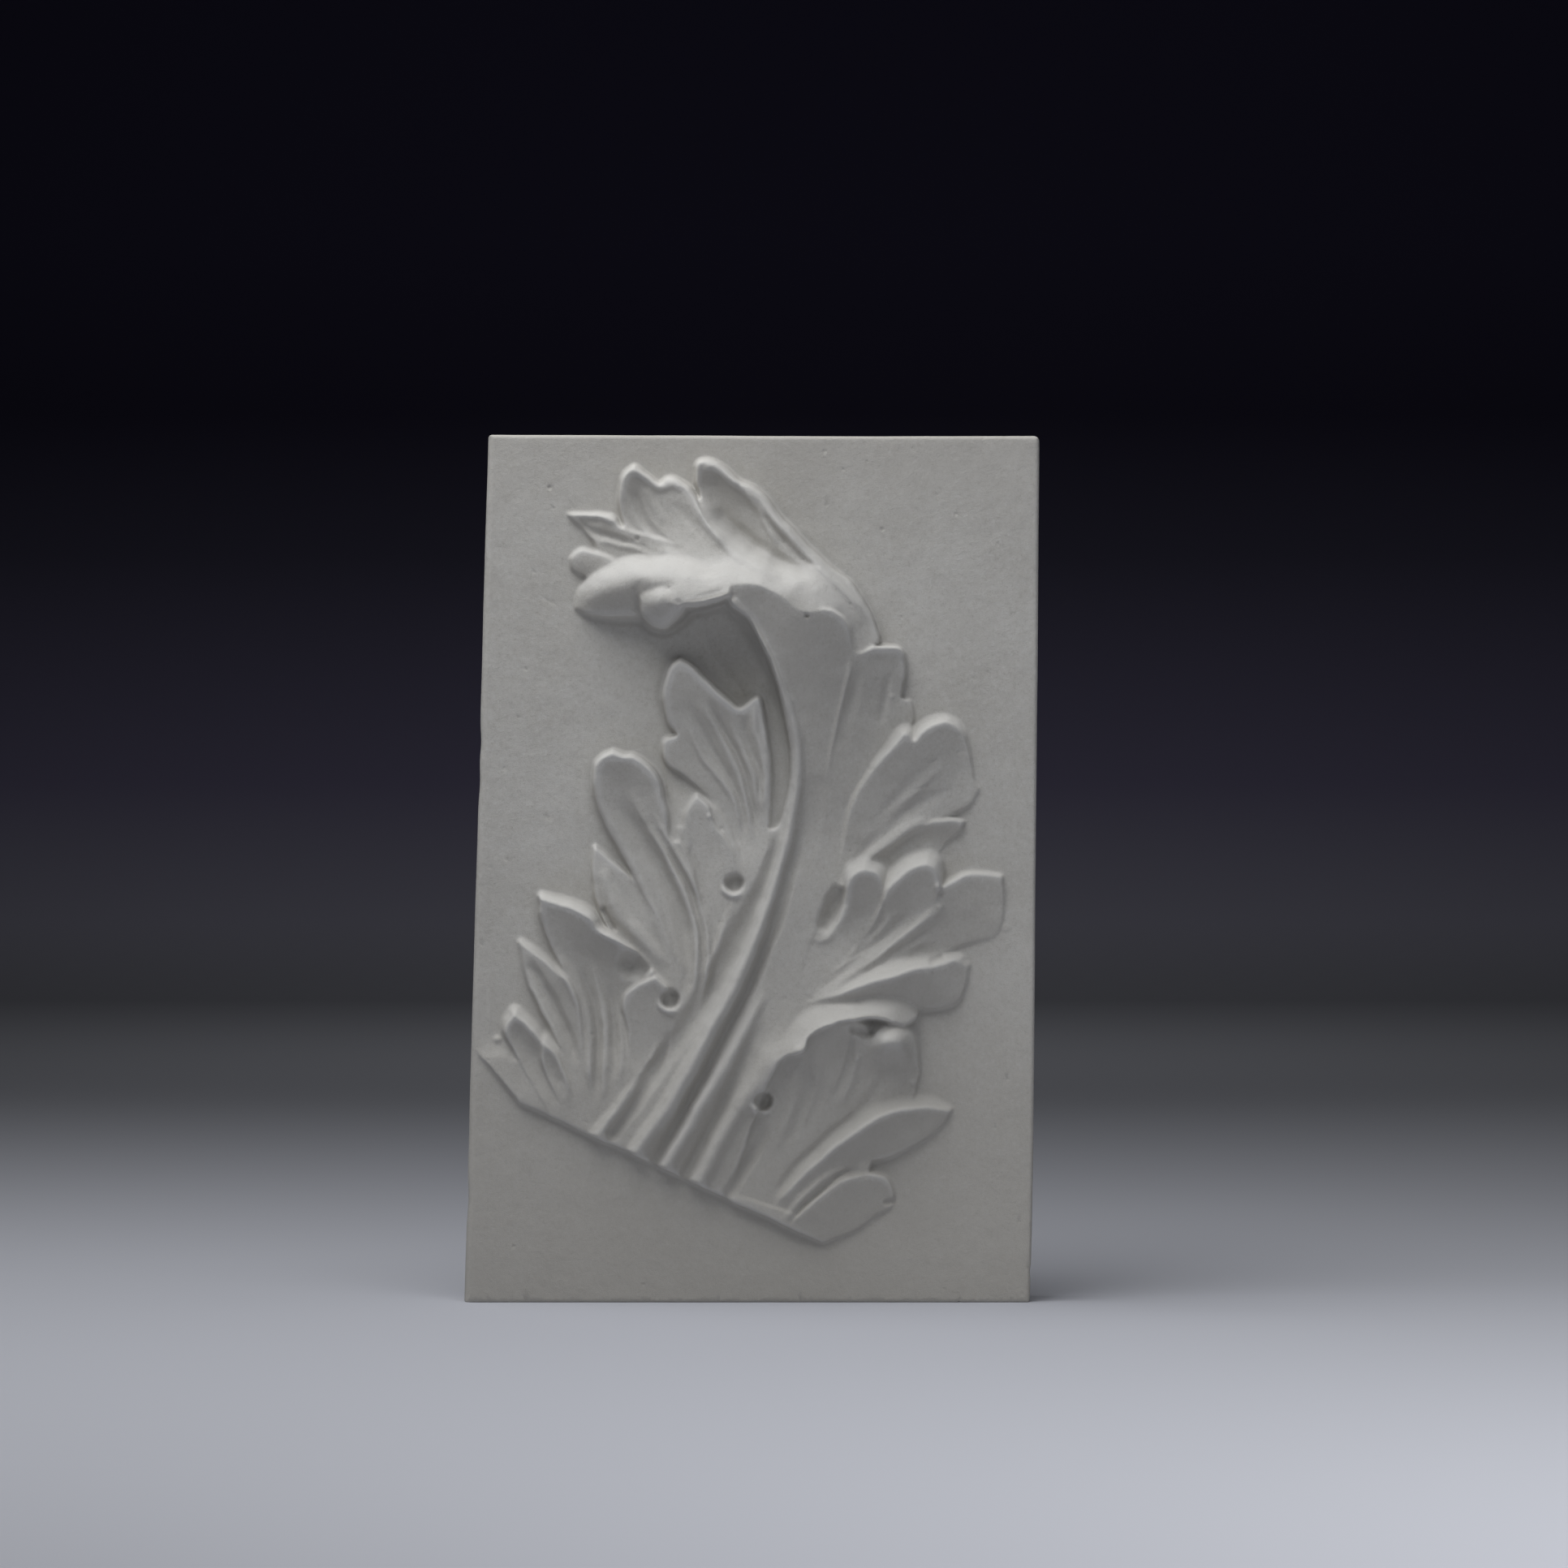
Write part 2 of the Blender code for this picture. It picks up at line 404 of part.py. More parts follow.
def lower_right_lobe(relief):
    """The broad leaflet beside the stalk, folded back along its top, and two long leaflets below."""
    relief.sheet([(-12, 62), (2, 104), (8, 119), (14, 130), (19, 137), (25, 144), (30, 146), (33, 150),
                  (40, 154.5), (50, 157.5), (60, 158), (65, 154), (68, 150), (72, 155), (78, 158),
                  (86, 157), (91, 149), (93.5, 137), (94, 127), (91, 116), (82, 103), (60, 88), (25, 50)],
                 [(-12, 62, 6), (2, 104, 7), (8, 119, 9), (19, 137, 14), (30, 146, 18), (42, 155, 21),
                  (56, 158, 22), (66, 151, 15), (73, 155, 16), (79, 157.5, 15), (86, 156.5, 12),
                  (91, 147, 9), (93.5, 134, 5), (93, 120, 3), (68, 146, 17), (75, 148.5, 22),
                  (83, 147.5, 20), (82, 103, 3), (60, 88, 4), (25, 50, 4), (30, 100, 8), (50, 120, 9.5),
                  (60, 138, 12), (78, 135, 11), (76, 118, 6), (40, 135, 14), (15, 100, 7.5), (48, 148, 18)],
                 upper=2.2, lower=3, foot=7)
    relief.sheet([(-12, 112), (2, 108), (6, 118), (10, 126), (14, 134), (19, 139), (25, 140.5), (30, 143),
                  (31.5, 149), (36, 153.5), (42, 156), (50, 159), (58, 160), (66, 161), (74, 160),
                  (80, 158), (88, 157), (93, 161), (94, 168), (88, 176),
                  (76, 181), (58, 181), (40, 176), (22, 165), (4, 148), (-6, 128)],
                 [(1, 109, 13), (6, 118, 15), (16, 135, 20), (28, 146, 24), (40, 155, 26), (58, 160, 25.5),
                  (74, 160, 21), (84, 158, 16), (93, 161, 8), (6, 132, 14), (20, 150, 15), (40, 164, 17),
                  (58, 168, 17), (76, 168, 15), (89, 167, 8), (-12, 112, 11), (-4, 130, 11.5),
                  (4, 146, 11.5), (22, 165, 9), (40, 176, 8), (58, 181, 6), (76, 181, 4), (88, 176, 3),
                  (94, 168, 2)],
                 upper=1.0, lower=14, foot=4, merge=1.5)
    relief.leaflet([(8, 50), (33, 76), (60, 98), (77, 107), (94, 110), (112, 108)],
                   [(22, 42), (50, 72), (78, 83), (98, 93), (108, 101), (112, 108)],
                   (6, 10, 13, 15, 11, 3), (4, 5, 5.5, 4.5, 3, 3), hollow=(0, 1, 1, 0.5), root=0.15,
                   upper=1.5, lower=3, foot=6)
    relief.leaflet([(16, 40), (36, 58), (46, 66), (54, 70.5), (67, 72.5), (76, 69.5), (80, 63)],
                   [(30, 32), (44, 35), (60, 42), (70, 49), (79, 55), (80, 63)],
                   (5, 8, 9, 9, 7, 3), (4, 2.5, 2, 1.5, 1.5, 3), hollow=(0, 0.5, 0.5), root=0.15, upper=3.5,
                   lower=3, foot=4)
    for path, width, rise in (
            ([(31, 146), (33, 132), (29, 112), (20, 86)], 4, (-1, -1.2, -1)),
            ([(44, 152), (43, 136), (38, 116), (28, 92)], 4, (-0.5, -1, -0.5)),
            ([(24, 136), (24, 120), (20, 104), (12, 84)], 3.5, (0.5, 1, 0.5)),
            ([(57, 153), (55.5, 140), (51, 126), (46, 114)], 2.4, (-2, -1.5, -0.6)),
            ([(61, 148), (59.5, 138), (55, 124), (48, 110)], 3, (0.6, 1, 0.5)),
            ([(80, 148), (78, 134), (68, 116), (54, 100)], 5, (-0.5, -1, -0.5)),
            ([(62, 108), (44, 95), (26, 77), (12, 58)], 4, (-1, -1.5, -1)),
            ([(56, 76), (44, 72), (30, 60), (18, 46)], (3, 4, 3), (1, 2.5, 1.5)),
            ([(45, 70.5), (53, 74), (62, 75.5)], 2.0, (-1.5, -2.5, -1))):
        relief.stroke(path, width, rise)
    relief.drill(61.5, 153.5, 3.6, 3.4, run=(4, -1))
    relief.drill(26, 143, 3, -1.5)
    relief.drill(59.5, 138, 2.2, -1.5)
    relief.drill(78, 57, 1.8, 1.8, run=(2, 0.5))
    relief.drill(91, 124, 2.2, -1.2)


def midrib_and_pipes(relief):
    """The rib up the middle, and the pipes that run from the cut to the eyes, with valleys between."""
    ridges = [
        ([(-66, 84), (-46, 112), (-25, 150), (-4, 190), (10, 230), (21, 265), (26, 300), (23, 328), (10, 362),
          (-10, 393)], (7, 7, 6.5, 5.5, 5, 4, 4), (5, 6.2, 5.5, 3.8, 3), (0, 0)),
        ([(-49, 76), (-29, 110), (-11, 140), (5, 170), (13, 185)], (6.5, 6, 4), (4, 4, 2), (0, 0.25)),
        ([(-30, 68), (-8, 108), (6, 130), (16, 148), (30, 166)], (7, 8, 9), (4, 3.5, 2), (0, 0.3)),
        ([(-88, 92), (-72, 112), (-60, 130)], (7, 6, 4), (4, 3.5, 2), (0, 0.3)),
    ]
    valleys = [
        ([(16, 265), (6, 232), (-9, 203), (-22, 180), (-38, 154), (-56, 128), (-78, 96)], (4, 8, 9, 8, 7, 6),
         (-3, -4, -4, -4, -4, -3), (0.1, 0)),
        ([(-56, 78), (-37, 110), (-15, 150), (4, 190), (17, 225), (29, 268), (33, 300)], (5, 5, 5, 3.5),
         (-4, -5, -5, -3, -1), (0, 0.3)),
        ([(-38, 72), (-18, 110), (-3, 140), (8, 160)], (5, 5, 4), (-4, -4, -1), (0, 0.25)),
        ([(-14, 60), (4, 90), (10, 104)], (5, 5, 4), (-2, -3, -1), (0, 0.25)),
    ]
    for path, width, rise, fade in ridges + valleys:
        relief.stroke(path, width, rise, fade)


def curl_back(relief):
    """The outside of the turned-over tip, which falls away behind the rim to two blunt tips."""
    relief.sheet(
        [(-41, 391), (-30, 392), (-20, 394), (-12, 397.5), (-11, 402.5), (0, 403), (10, 400), (17, 397),
         (24, 391), (30, 387.5), (35, 387.5), (41, 390), (50, 386), (55, 379), (57, 368), (60, 365),
         (68, 369), (72, 372), (70, 380), (65, 391), (56, 404), (44, 413), (30, 426), (16, 441), (8, 451),
         (1, 457), (-7, 461), (-14, 467), (-21, 471.5), (-27, 473), (-30.5, 471), (-31, 463), (-30, 450),
         (-45, 445), (-68, 434), (-76, 426), (-84, 416), (-80, 406), (-60, 396)],
        [(-41, 392, 40), (-20, 394, 42.5), (-12, 398, 42.5), (5, 402, 42), (24, 391, 40), (41, 389, 35),
         (57, 368, 23), (-40, 402, 38), (-20, 403, 39.5), (72, 371, 12), (68, 385, 10), (50, 408, 11),
         (30, 425, 14), (10, 447, 15), (-10, 463, 15.5), (-26, 471, 14), (40, 403, 26), (-20, 417, 25),
         (-40, 417, 21), (-50, 425, 14), (-66, 434, 8), (24, 404, 34), (8, 412, 29.5), (-8, 420.5, 23),
         (-19, 431, 18), (-27, 442, 14.5), (-32, 451, 11.5), (-21, 461, 8.5), (-11, 450, 9.5),
         (-2, 440, 11), (6, 430, 13.5), (15, 421, 17), (27, 412, 22.5), (3, 447, 13.5), (12, 434, 16),
         (22, 424, 17.5), (-24, 453, 7.5), (-18, 442, 8.5), (-9, 432, 10.5), (1, 424, 14.5),
         (14, 414, 21.5), (-80, 418, 8), (-78, 406, 9)],
        upper=5, lower=20, foot=2)
    for path, width, rise in (
            ([(-28, 468), (-23, 469), (-15, 464.5), (-6, 458.5)], 3.5, (2, 2.2, 1.5)),
            ([(-16, 464), (-6, 458), (5, 448), (18, 434.5), (32, 419.5), (46, 406), (58, 394), (66, 382)],
             (4, 4, 3.5, 3.5), (2, 3, 3, 3, 2.5)),
            ([(16, 425), (9, 436), (3, 446.5), (-5, 456)], 2.5, (0.8, 1.5, 1)),
            ([(36, 411), (24, 423), (14, 434), (6, 446), (-1, 454)], 2.5, (-1, -1.8, -1.8, -1))):
        relief.stroke(path, width, rise)
    relief.leaflet([(-60, 410), (-68, 425), (-73, 443), (-74, 455), (-71.5, 465), (-66, 470)],
                   [(24, 404), (8, 412), (-8, 420.5), (-19, 431), (-27, 442), (-32, 451), (-37, 459),
                    (-46, 463.5), (-52, 460.5), (-59, 465), (-66, 470)],
                   (21, 13, 8, 7, 10, 13), (34, 29.5, 22.5, 16.5, 12.5, 13), hollow=(0, 1, 2.5, 2, 0),
                   root=0.25, upper=5, lower=6, foot=2)
    for path, width, rise in (
            ([(-70, 466), (-65, 467), (-58, 462.5), (-52, 458.5), (-44, 460), (-37, 456)], (3, 3.5, 3),
             (1.5, 1.6, 1.2)),
            ([(-60, 459), (-55, 449), (-48, 438)], (3, 4, 4), (0.8, 1.2, 0.6)),
            ([(-72, 455), (-70, 441), (-60, 430), (-47, 422)], 3, (-0.6, -1.2, -1)),
            ([(-36, 421), (-48, 427), (-58, 437), (-64, 449), (-67, 460)], (3.5, 4, 3), (-1, -2, -2, -1)),
            ([(20, 405), (6, 412), (-8, 420), (-18, 430), (-26.5, 441), (-33, 452)], 4.5,
             (1, 2, 2.5, 2.2, 1.5)),
            ([(-22, 452), (-14, 439), (-3, 429), (9, 420.5), (22, 413.5), (36, 405)], (5, 7, 7, 6, 4),
             (-1, -3.2, -3.6, -3.2, -1.5)),
            ([(-26, 430), (-36, 441), (-44, 451)], 4, (-0.5, -0.8, -0.5))):
        relief.stroke(path, width, rise)


def curl_left_end(relief):
    """Two thin blades, the bulging fold, and the small lobe curled in front of it."""
    relief.leaflet([(-40, 416), (-66, 416), (-84, 420), (-88, 429), (-97, 438), (-103, 443.5)],
                   [(-36, 424), (-54, 430), (-73, 436), (-79, 442), (-90, 443.5), (-103, 443.5)],
                   (24, 14, 8, 5, 4, 3), (24, 15, 10, 8, 5, 3), hollow=0.5, root=0.3, upper=4, lower=3)
    relief.leaflet([(-78, 404), (-90, 407), (-100, 413), (-102, 419)],
                   [(-76, 418), (-88, 422), (-96, 423.5), (-102, 419)], (9, 5, 3, 3), (9, 8, 6, 3),
                   hollow=-0.5, root=0.2, upper=3, lower=3)
    for path, width, rise in (
            ([(-102, 443), (-94, 442.5), (-84, 441.5), (-76, 438)], (1.6, 2.2, 2.2), (1, 2, 1.5)),
            ([(-98, 440), (-90, 434), (-80, 431), (-68, 427)], (2.5, 3.5, 3), (-1.5, -2.5, -1.5)),
            ([(-86, 430), (-70, 426), (-48, 420)], 3, (1, 1.5, 1)),
            ([(-74, 430), (-60, 424), (-46, 419)], 2.5, (-1, -1.5, -1))):
        relief.stroke(path, width, rise)
    relief.sheet([(-99, 391), (-98, 399), (-92, 407), (-84, 413.5), (-74, 418), (-57, 419.5), (-36, 419),
                  (-20, 417), (-20, 404), (-34, 396), (-50, 388), (-60, 387.5), (-70, 387.5), (-82, 387),
                  (-92, 388.5), (-97, 390)],
                 [(-98.5, 392, 3), (-97, 400, 4), (-92, 407, 5), (-84, 413, 7), (-74, 418, 9.5),
                  (-57, 419, 14), (-38, 419, 19), (-22, 417, 20), (-96, 386, 3), (-82, 383, 7),
                  (-70, 384, 11), (-60, 385, 16), (-50, 388, 24), (-36, 397, 36), (-88, 402, 14.5),
                  (-76, 407, 21), (-64, 409.5, 26.5), (-50, 410, 31.5), (-35, 407, 36), (-84, 393, 14.5),
                  (-72, 396, 21), (-60, 399, 27.5), (-84, 410, 12), (-70, 415, 17), (-54, 416, 22),
                  (-38, 414, 26.5), (-24, 412, 26), (-22, 405, 34.5)],
                 upper=2.5, lower=5, merge=2.5)
    relief.sheet([(-62, 396), (-61, 388), (-55, 381.5), (-48, 380.5), (-42, 386), (-38, 391), (-36, 397),
                  (-40, 403), (-50, 406), (-58, 403)],
                 [(-62, 396, 27), (-61, 388, 25), (-54, 381.5, 24), (-47, 381.5, 27), (-42, 386, 33),
                  (-38, 391, 39), (-37, 397, 38), (-41, 403, 34), (-50, 406, 30), (-58, 403, 26),
                  (-52, 391, 36), (-50, 398, 36.5)],
                 upper=2, lower=9, foot=1.5, merge=1.5)
    relief.stroke([(-60, 406), (-64.5, 399), (-65, 390), (-60, 382)], 3, (-0.5, -1.5, -1))
    relief.drill(-40, 393, 2.2, 1.2)


def drilled_eyes(relief):
    radius, depth = EYE_DIAMETER / 2 / PART, EYE_DEPTH / PART
    rim = radius + 1.8
    for x, z in ((-45.5, 171), (-9.5, 236), (6.5, 114)):
        around = np.radians(np.arange(175, 350, 25))
        relief.stroke(np.column_stack([x + rim * np.cos(around), z + rim * np.sin(around)]), 2.6, 2.2,
                      (0.35, 0.35))
        relief.drill(x, z, radius + 0.6, depth, flat=0.6)
    relief.stroke([(32.5, 214), (33.5, 208), (38, 204), (43, 206), (48, 212)], 2.8, 1.0, (0.6, 0.35))
    relief.stroke([(38, 208), (42, 215), (46.5, 224), (51, 236)], (4.5, 7.5, 8.5, 5), (-3, -6.5, -5.5, -2))


def cut_across_stalk(relief):
    """The straight cut below the leaf, and the short broken edge at its left."""
    start, end, slant = np.array([-125.0, 110.0]), np.array([38.0, 34.0]), np.array([-0.77, -0.64])
    along = (end - start) / np.hypot(*(end - start))
    below = (relief.x - start[0]) * along[1] - (relief.z - start[1]) * along[0]
    beside = (relief.x - start[0] + 3) * slant[0] + (relief.z - start[1] + 1) * slant[1]
    wall = np.maximum(0, 2 - CUT_SLOPE * np.maximum(below, beside))
    relief.h = np.maximum(-smooth_max(-relief.h, -wall, 0.6), np.minimum(relief.h, 0))


def carve_leaf(left, right, top):
    relief = Relief(left, right, SKETCH_FOOT - MARGIN_BELOW / PART, top, CELL / PART)
    for carve in (stalk_and_blade, lower_left_lobe, middle_left_lobe, upper_left_lobe, upper_right_lobe,
                  middle_right_lobe, lower_right_lobe, midrib_and_pipes, curl_back, curl_left_end,
                  drilled_eyes, cut_across_stalk):
        carve(relief)
    relief.h = softened(relief.h, max(CARVING_BLUR / CELL, LEAST_BLUR))
    relief.h *= RELIEF_DEPTH / relief.h.max()
    return relief


def read_heights(relief, x, z):
    """Heights in metres between the grid's points."""
    column = np.clip((x - relief.corner[0]) / relief.cell, 0, relief.h.shape[1] - 1.001)
    row = np.clip((z - relief.corner[1]) / relief.cell, 0, relief.h.shape[0] - 1.001)
    c, r = column.astype(int), row.astype(int)
    fc, fr = column - c, row - r
    lower = relief.h[r, c] * (1 - fc) + relief.h[r, c + 1] * fc
    upper = relief.h[r + 1, c] * (1 - fc) + relief.h[r + 1, c + 1] * fc
    return lower * (1 - fr) + upper * fr


def slab_sides():
    """The slab's left and right edges at its foot and at its top, in metres from the sketch's middle line."""
    left_foot = -REACH_LEFT * PART - MARGIN_LEFT
    right_foot = REACH_RIGHT * PART + MARGIN_RIGHT
    return (left_foot, left_foot + LEAN_LEFT), (right_foot, right_foot + LEAN_RIGHT)


def add_relief():
    (left_foot, left_top), (right_foot, right_top) = slab_sides()
    height = MARGIN_BELOW + LEAF_HEIGHT + MARGIN_ABOVE
    widest_left, widest_right = min(left_foot, left_top), max(right_foot, right_top)
    depth = SLAB_THICKNESS + RELIEF_DEPTH
    face_y, back_y = depth / 2 - SLAB_THICKNESS, depth / 2

    columns = round((widest_right - widest_left) / CELL)
    rows = round(height / CELL)
    bpy.ops.mesh.primitive_grid_add(x_subdivisions=columns, y_subdivisions=rows, size=1)
    obj = bpy.context.object
    obj.name = obj.data.name = "acanthus_relief"

    flat = np.empty(len(obj.data.vertices) * 3)
    obj.data.vertices.foreach_get("co", flat)
    across, up = flat.reshape(-1, 3)[:, 0] + 0.5, flat.reshape(-1, 3)[:, 1] + 0.5
    left = left_foot + (left_top - left_foot) * up
    right = right_foot + (right_top - right_foot) * up
    x = left + (right - left) * across
    z = height * up
    relief = carve_leaf(widest_left / PART, widest_right / PART,
                        SKETCH_FOOT + (LEAF_HEIGHT + MARGIN_ABOVE) / PART)
    rise = read_heights(relief, x / PART, (z - MARGIN_BELOW) / PART + SKETCH_FOOT)

    to_edge = np.minimum.reduce([x - left, right - x, z, height - z])
    worn = np.clip(1 - to_edge / ARRIS_RADIUS, 0, 1)
    rise -= ARRIS_RADIUS * (1 - np.sqrt(1 - worn**2))
    points = np.column_stack([x - (widest_left + widest_right) / 2, face_y - rise, z])
    obj.data.vertices.foreach_set("co", points.ravel())

    mesh = bmesh.new()
    mesh.from_mesh(obj.data)
    rim = [edge for edge in mesh.edges if edge.is_boundary]
    walls = bmesh.ops.extrude_edge_only(mesh, edges=rim)["geom"]
    for vertex in (v for v in walls if isinstance(v, bmesh.types.BMVert)):
        vertex.co.y = back_y
    bmesh.ops.holes_fill(mesh, edges=[edge for edge in mesh.edges if edge.is_boundary], sides=0)
    bmesh.ops.recalc_face_normals(mesh, faces=mesh.faces)
    bmesh.ops.triangulate(mesh, faces=mesh.faces)
    faces = len(mesh.faces)
    mesh.to_mesh(obj.data)
    mesh.free()

    fewer = obj.modifiers.new("fewer faces", "DECIMATE")
    fewer.ratio = min(1.0, TRIANGLES / faces)
    return obj


def plaster():
    material = bpy.data.materials.new("plaster")
    material.use_nodes = True
    shader = material.node_tree.nodes["Principled BSDF"]
    shader.inputs["Base Color"].default_value = PLASTER
    shader.inputs["Roughness"].default_value = 0.85
    shader.inputs["Metallic"].default_value = 0.0
    return material


for old in list(bpy.data.objects):
    bpy.data.objects.remove(old)
collection = bpy.data.collections.new("acanthus relief")
bpy.context.scene.collection.children.link(collection)
cast = add_relief()
for place in list(cast.users_collection):
    place.objects.unlink(cast)
collection.objects.link(cast)
cast.data.materials.append(plaster())
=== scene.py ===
import bmesh
import bpy
import numpy as np
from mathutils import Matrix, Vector


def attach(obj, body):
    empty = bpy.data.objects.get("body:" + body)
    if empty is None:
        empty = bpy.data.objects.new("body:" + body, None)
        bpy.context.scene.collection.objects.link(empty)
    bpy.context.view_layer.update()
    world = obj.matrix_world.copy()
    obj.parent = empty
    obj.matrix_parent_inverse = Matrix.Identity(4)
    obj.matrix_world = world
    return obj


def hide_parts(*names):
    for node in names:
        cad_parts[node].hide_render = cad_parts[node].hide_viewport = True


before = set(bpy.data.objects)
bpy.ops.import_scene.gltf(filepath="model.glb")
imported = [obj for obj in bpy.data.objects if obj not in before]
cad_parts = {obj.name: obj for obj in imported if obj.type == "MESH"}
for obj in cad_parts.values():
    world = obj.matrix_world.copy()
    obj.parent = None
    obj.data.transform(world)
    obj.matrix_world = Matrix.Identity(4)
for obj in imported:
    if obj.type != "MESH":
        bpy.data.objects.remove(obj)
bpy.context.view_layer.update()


# The cast: a slab with a fragment of an acanthus leaf on its face, one piece of white casting plaster.
# It came out of a mould in one pour. The leaf is carved here leaflet by leaflet on a fine grid of
# heights, in millimetres from the middle of the slab's foot, and the grid is then moved onto the slab.

LEAF_HEIGHT = 0.440       # metres, from the lowest corner of the cut stalk to the highest tip
RELIEF_DEPTH = 0.0415     # the rim of the curl above the slab's face
SLAB_THICKNESS = 0.040
MARGIN_BELOW = 0.034      # bare slab below and above the leaf
MARGIN_ABOVE = 0.015
FOOT_LEFT, TOP_LEFT = -0.1625, -0.1489      # the slab's sides, which lean
FOOT_RIGHT, TOP_RIGHT = 0.1583, 0.1626
EYE_DIAMETER = 0.010      # drilled holes between the lobes
EYE_DEPTH = 0.0054
CUT_SLOPE = 6.0           # steepness of the cut across the stalk
PART = 0.001              # one part of the sketch, in metres
CELL = 0.00078            # spacing of the grid that the leaf is carved on
TRIANGLES = 188000        # faces kept in the finished cast


def smooth_curve(points, spans=8):
    """A curve that passes through all of the points."""
    p = np.asarray(points, float)
    if len(p) < 3:
        return p
    ends = np.vstack([2 * p[0] - p[1], p, 2 * p[-1] - p[-2]])
    t = np.linspace(0, 1, spans, endpoint=False)[:, None]
    rows = []
    for a, b, c, d in zip(ends, ends[1:], ends[2:], ends[3:]):
        bend = (2 * a - 5 * b + 4 * c - d) * t**2 + (3 * b - a - 3 * c + d) * t**3
        rows.append(0.5 * (2 * b + (c - a) * t + bend))
    rows.append(p[-1:])
    return np.vstack(rows)


def at_shares(path, shares):
    """Points at shares of a path's length."""
    step = np.hypot(*np.diff(path, axis=0).T)
    far = np.concatenate([[0], np.cumsum(step)])
    want = np.asarray(shares) * far[-1]
    return np.column_stack([np.interp(want, far, path[:, 0]), np.interp(want, far, path[:, 1])])


def spread(values, shares):
    """Values spread evenly along a path, read at shares of its length."""
    v = np.atleast_1d(np.asarray(values, float))
    return np.interp(shares, np.linspace(0, 1, len(v)), v) if len(v) > 1 else np.full(np.shape(shares), v[0])


def nearest(path, x, z):
    """Distance to a path, and the share of its length at the nearest place."""
    run = np.diff(path, axis=0)
    length = np.hypot(run[:, 0], run[:, 1])
    before = np.concatenate([[0], np.cumsum(length)])
    best = np.full(x.shape, np.inf)
    share = np.zeros(x.shape)
    for (ax, az), (rx, rz), size, done in zip(path, run, length, before):
        if size == 0:
            continue
        t = np.clip(((x - ax) * rx + (z - az) * rz) / size**2, 0, 1)
        gap = np.hypot(x - ax - t * rx, z - az - t * rz)
        share = np.where(gap < best, (done + t * size) / before[-1], share)
        best = np.minimum(gap, best)
    return best, share


def outside_distance(outline, x, z):
    """Distance to a closed outline, below zero within it."""
    inside = np.zeros(x.shape, bool)
    for (ax, az), (bx, bz) in zip(outline, np.roll(outline, -1, axis=0)):
        if az != bz:
            inside ^= ((az > z) != (bz > z)) & (x < (bx - ax) * (z - az) / (bz - az) + ax)
    gap, _ = nearest(np.vstack([outline, outline[:1]]), x, z)
    return np.where(inside, -gap, gap)


def stretched_skin(anchors, x, z):
    """The smoothest surface through the anchors, each an x, a z and a height."""
    a = np.asarray(anchors, float)

    def bend(r2):
        return r2 * np.log(r2 + 1e-9)

    between = bend((a[:, None, 0] - a[None, :, 0]) ** 2 + (a[:, None, 1] - a[None, :, 1]) ** 2)
    flat = np.column_stack([np.ones(len(a)), a[:, :2]])
    system = np.block([[between, flat], [flat.T, np.zeros((3, 3))]])
    weights = np.linalg.solve(system, np.concatenate([a[:, 2], np.zeros(3)]))
    out = weights[-3] + weights[-2] * x + weights[-1] * z
    for (ax, az, _), w in zip(a, weights):
        out = out + w * bend((x - ax) ** 2 + (z - az) ** 2)
    return out


def smooth_step(low, high, value):
    t = np.clip((value - low) / (high - low), 0, 1)
    return t * t * (3 - 2 * t)


def smooth_max(a, b, fillet):
    share = np.clip(0.5 + 0.5 * (a - b) / fillet, 0, 1)
    return b + (a - b) * share + fillet * share * (1 - share)


def softened(heights, radius):
    """Heights blurred over a radius given in cells."""
    reach = max(1, round(radius * 2.5))
    weights = np.exp(-0.5 * (np.arange(-reach, reach + 1) / radius) ** 2)
    weights /= weights.sum()
    for _ in range(2):
        padded = np.pad(heights, ((reach, reach), (0, 0)), mode="edge")
        heights = sum(w * padded[i:i + heights.shape[0]] for i, w in enumerate(weights)).T
    return heights


